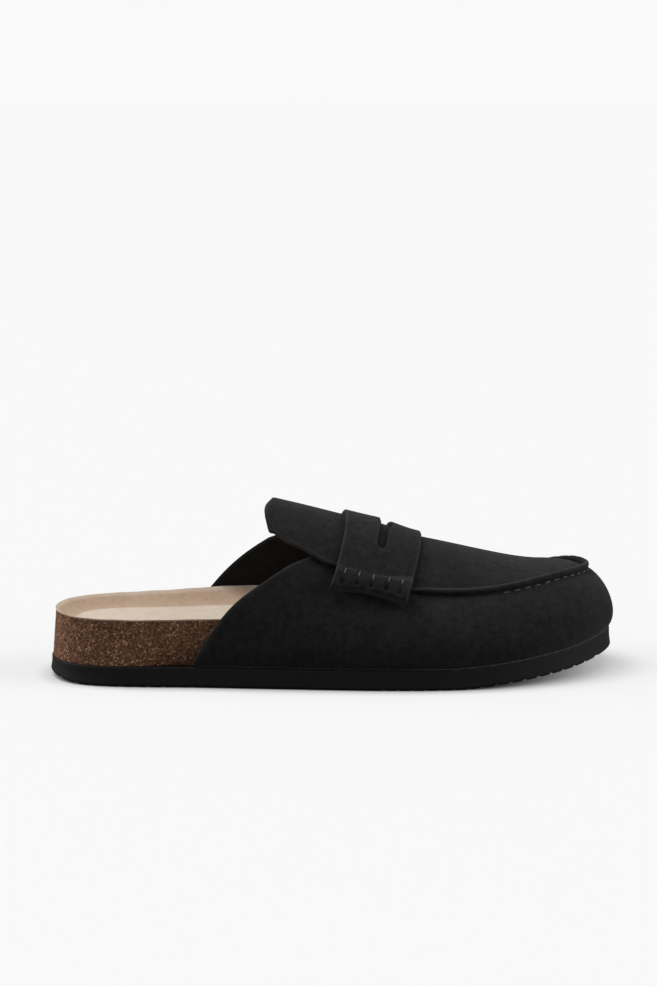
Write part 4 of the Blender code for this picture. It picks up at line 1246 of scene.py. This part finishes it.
def cork_material(group):
    material, tree, shader = new_material("pressed_cork", (0.15, 0.08, 0.045), {"Roughness": 0.85})
    cells = add_node(tree, "ShaderNodeGroup", node_tree=group)
    ramp = add_node(tree, "ShaderNodeValToRGB", {0: cells.outputs["Tone"]})
    stops = ramp.color_ramp.elements
    for i, (position, tone) in enumerate(CORK_TONES):
        stop = stops[i] if i < 2 else stops.new(position)
        stop.position, stop.color = position, (*tone, 1)
    gap = maths(tree, "MULTIPLY", cells.outputs["Gap"], 0.55)
    colour = blend(tree, gap, ramp.outputs[0], CORK_GAP)
    roughness = ranged(tree, cells.outputs["Tone"], 0.95, 0.72)
    feed(tree, shader, colour, roughness, cells.outputs["Relief"], 0.0005)
    return material


def rubber_material():
    constant = {"Roughness": 0.72, "Specular IOR Level": 0.25}
    material, tree, shader = new_material("black_rubber", (0.007, 0.0067, 0.0060), constant)
    where = object_coordinates(tree)
    fine = noise_value(tree, where, 2400.0, 3.0, 0.6)
    broad = noise_value(tree, stretched(tree, where, (1.0, 1.0, 3.0)), 70.0, 4.0, 0.6)
    colour = blend(tree, broad, (0.0052, 0.0050, 0.0044, 1), (0.0110, 0.0106, 0.0096, 1))
    feed(tree, shader, colour, ranged(tree, fine, 0.62, 0.86, 0.3, 0.7), fine, 0.00012)
    return material


def thread_material():
    """Twisted thread: a fine slanting wave runs round it, whose darker bands are painted shade in the twist's
    grooves.
    """
    colour = (0.072, 0.069, 0.067)
    constant = {"Roughness": 0.7, "Sheen Weight": 0.4}
    material, tree, shader = new_material("black_thread", colour, constant)
    where = object_coordinates(tree)
    links = {"Vector": where, "Scale": 900.0, "Distortion": 1.5, "Detail": 1.0}
    wave = add_node(tree, "ShaderNodeTexWave", links, bands_direction="DIAGONAL").outputs["Fac"]
    # Painted shade: the wave darkens the thread in the grooves between its strands
    shade = blend(tree, wave, tuple(0.55 * c for c in colour) + (1,), (*colour, 1))
    feed(tree, shader, shade, ranged(tree, wave, 0.85, 0.6), wave, 0.00015)
    return material


# Stage


def grey(value):
    return (value, value, value, 1)


def make_floor():
    data = bpy.data.meshes.new("floor")
    corners = [(FLOOR_HALF * x, FLOOR_HALF * y, 0) for x, y in ((-1, -1), (1, -1), (1, 1), (-1, 1))]
    data.from_pydata(corners, [], [(0, 1, 2, 3)])
    constant = {"Roughness": 0.9, "Specular IOR Level": 0.1, "Emission Strength": 1.0}
    material, tree, shader = new_material("pale_floor", (0.90, 0.90, 0.90), constant)
    seen = tree.nodes.new("ShaderNodeLightPath").outputs["Is Camera Ray"]
    # Painted glow: the floor glows for camera rays, making up the share of its brightness that no lamp gives
    lit, painted_glow = FLOOR_SHADE * BACKGROUND / FLOOR_LIGHT, (1 - FLOOR_SHADE) * BACKGROUND
    tree.links.new(blend(tree, seen, grey(FLOOR_BOUNCE), grey(lit)), shader.inputs["Base Color"])
    # Painted shadow: ambient occlusion darkens that glow in gaps under and near the shoe
    shade = add_node(tree, "ShaderNodeAmbientOcclusion", {"Distance": FLOOR_NEAR}, samples=8)
    share = maths(tree, "MULTIPLY", seen, shade.outputs["AO"])
    tree.links.new(blend(tree, share, grey(0), grey(painted_glow)), shader.inputs["Emission Color"])
    data.materials.append(material)
    floor = bpy.data.objects.new("floor", data)
    bpy.context.scene.collection.objects.link(floor)


def make_world():
    world = bpy.data.worlds.new("studio")
    bpy.context.scene.world = world
    world.use_nodes = True
    tree = world.node_tree
    sky = tree.nodes["Background"]
    seen = tree.nodes.new("ShaderNodeLightPath").outputs["Is Camera Ray"]
    tree.links.new(blend(tree, seen, grey(SKY_LIGHT), grey(BACKGROUND)), sky.inputs["Color"])


def direction(azimuth, elevation):
    """From the shoe towards an azimuth, 0 on the camera's side and 90 on the toe's, and an elevation."""
    a, e = math.radians(azimuth), math.radians(elevation)
    return Vector((math.sin(a) * math.cos(e), -math.cos(a) * math.cos(e), math.sin(e)))


def add_sun(look):
    """A soft light from one side."""
    light = bpy.data.lights.new(look.name, "SUN")
    light.energy = look.strength
    light.angle = math.radians(look.softness)
    lamp = bpy.data.objects.new(look.name, light)
    back = direction(look.azimuth, look.elevation)
    lamp.rotation_mode = "QUATERNION"
    lamp.rotation_quaternion = back.to_track_quat("Z", "Y")
    lamp.location = back * 2.0
    bpy.context.scene.collection.objects.link(lamp)


def make_camera():
    back = direction(CAMERA_AZIMUTH, CAMERA_ELEVATION)
    data = bpy.data.cameras.new("camera")
    data.lens = CAMERA_LENS
    data.sensor_width = 36.0
    camera = bpy.data.objects.new("camera", data)
    camera.location = Vector(CAMERA_AIM) + back * CAMERA_DISTANCE
    camera.rotation_euler = (-back).to_track_quat("-Z", "Y").to_euler()
    bpy.context.scene.collection.objects.link(camera)
    bpy.context.scene.camera = camera


def build():
    nap = make_nap_group()
    suede, lining, sock, lip = (nap_material(look, nap) for look in NAPS)
    thread = thread_material()
    make_sole(rubber_material())
    make_cork(cork_material(make_granule_group()))
    make_sock(sock)
    make_upper(suede, lining)
    make_ridge(suede)
    make_vamp_stitches(thread)
    make_sole_lip(lip)
    make_tongue(suede)
    half_apron = make_strap(suede)
    make_strap_stitches(thread, half_apron)
    make_floor()
    make_world()
    for look in LIGHTS:
        add_sun(look)
    make_camera()
    bpy.context.scene.view_settings.view_transform = "Standard"


build()
bpy.context.view_layer.update()
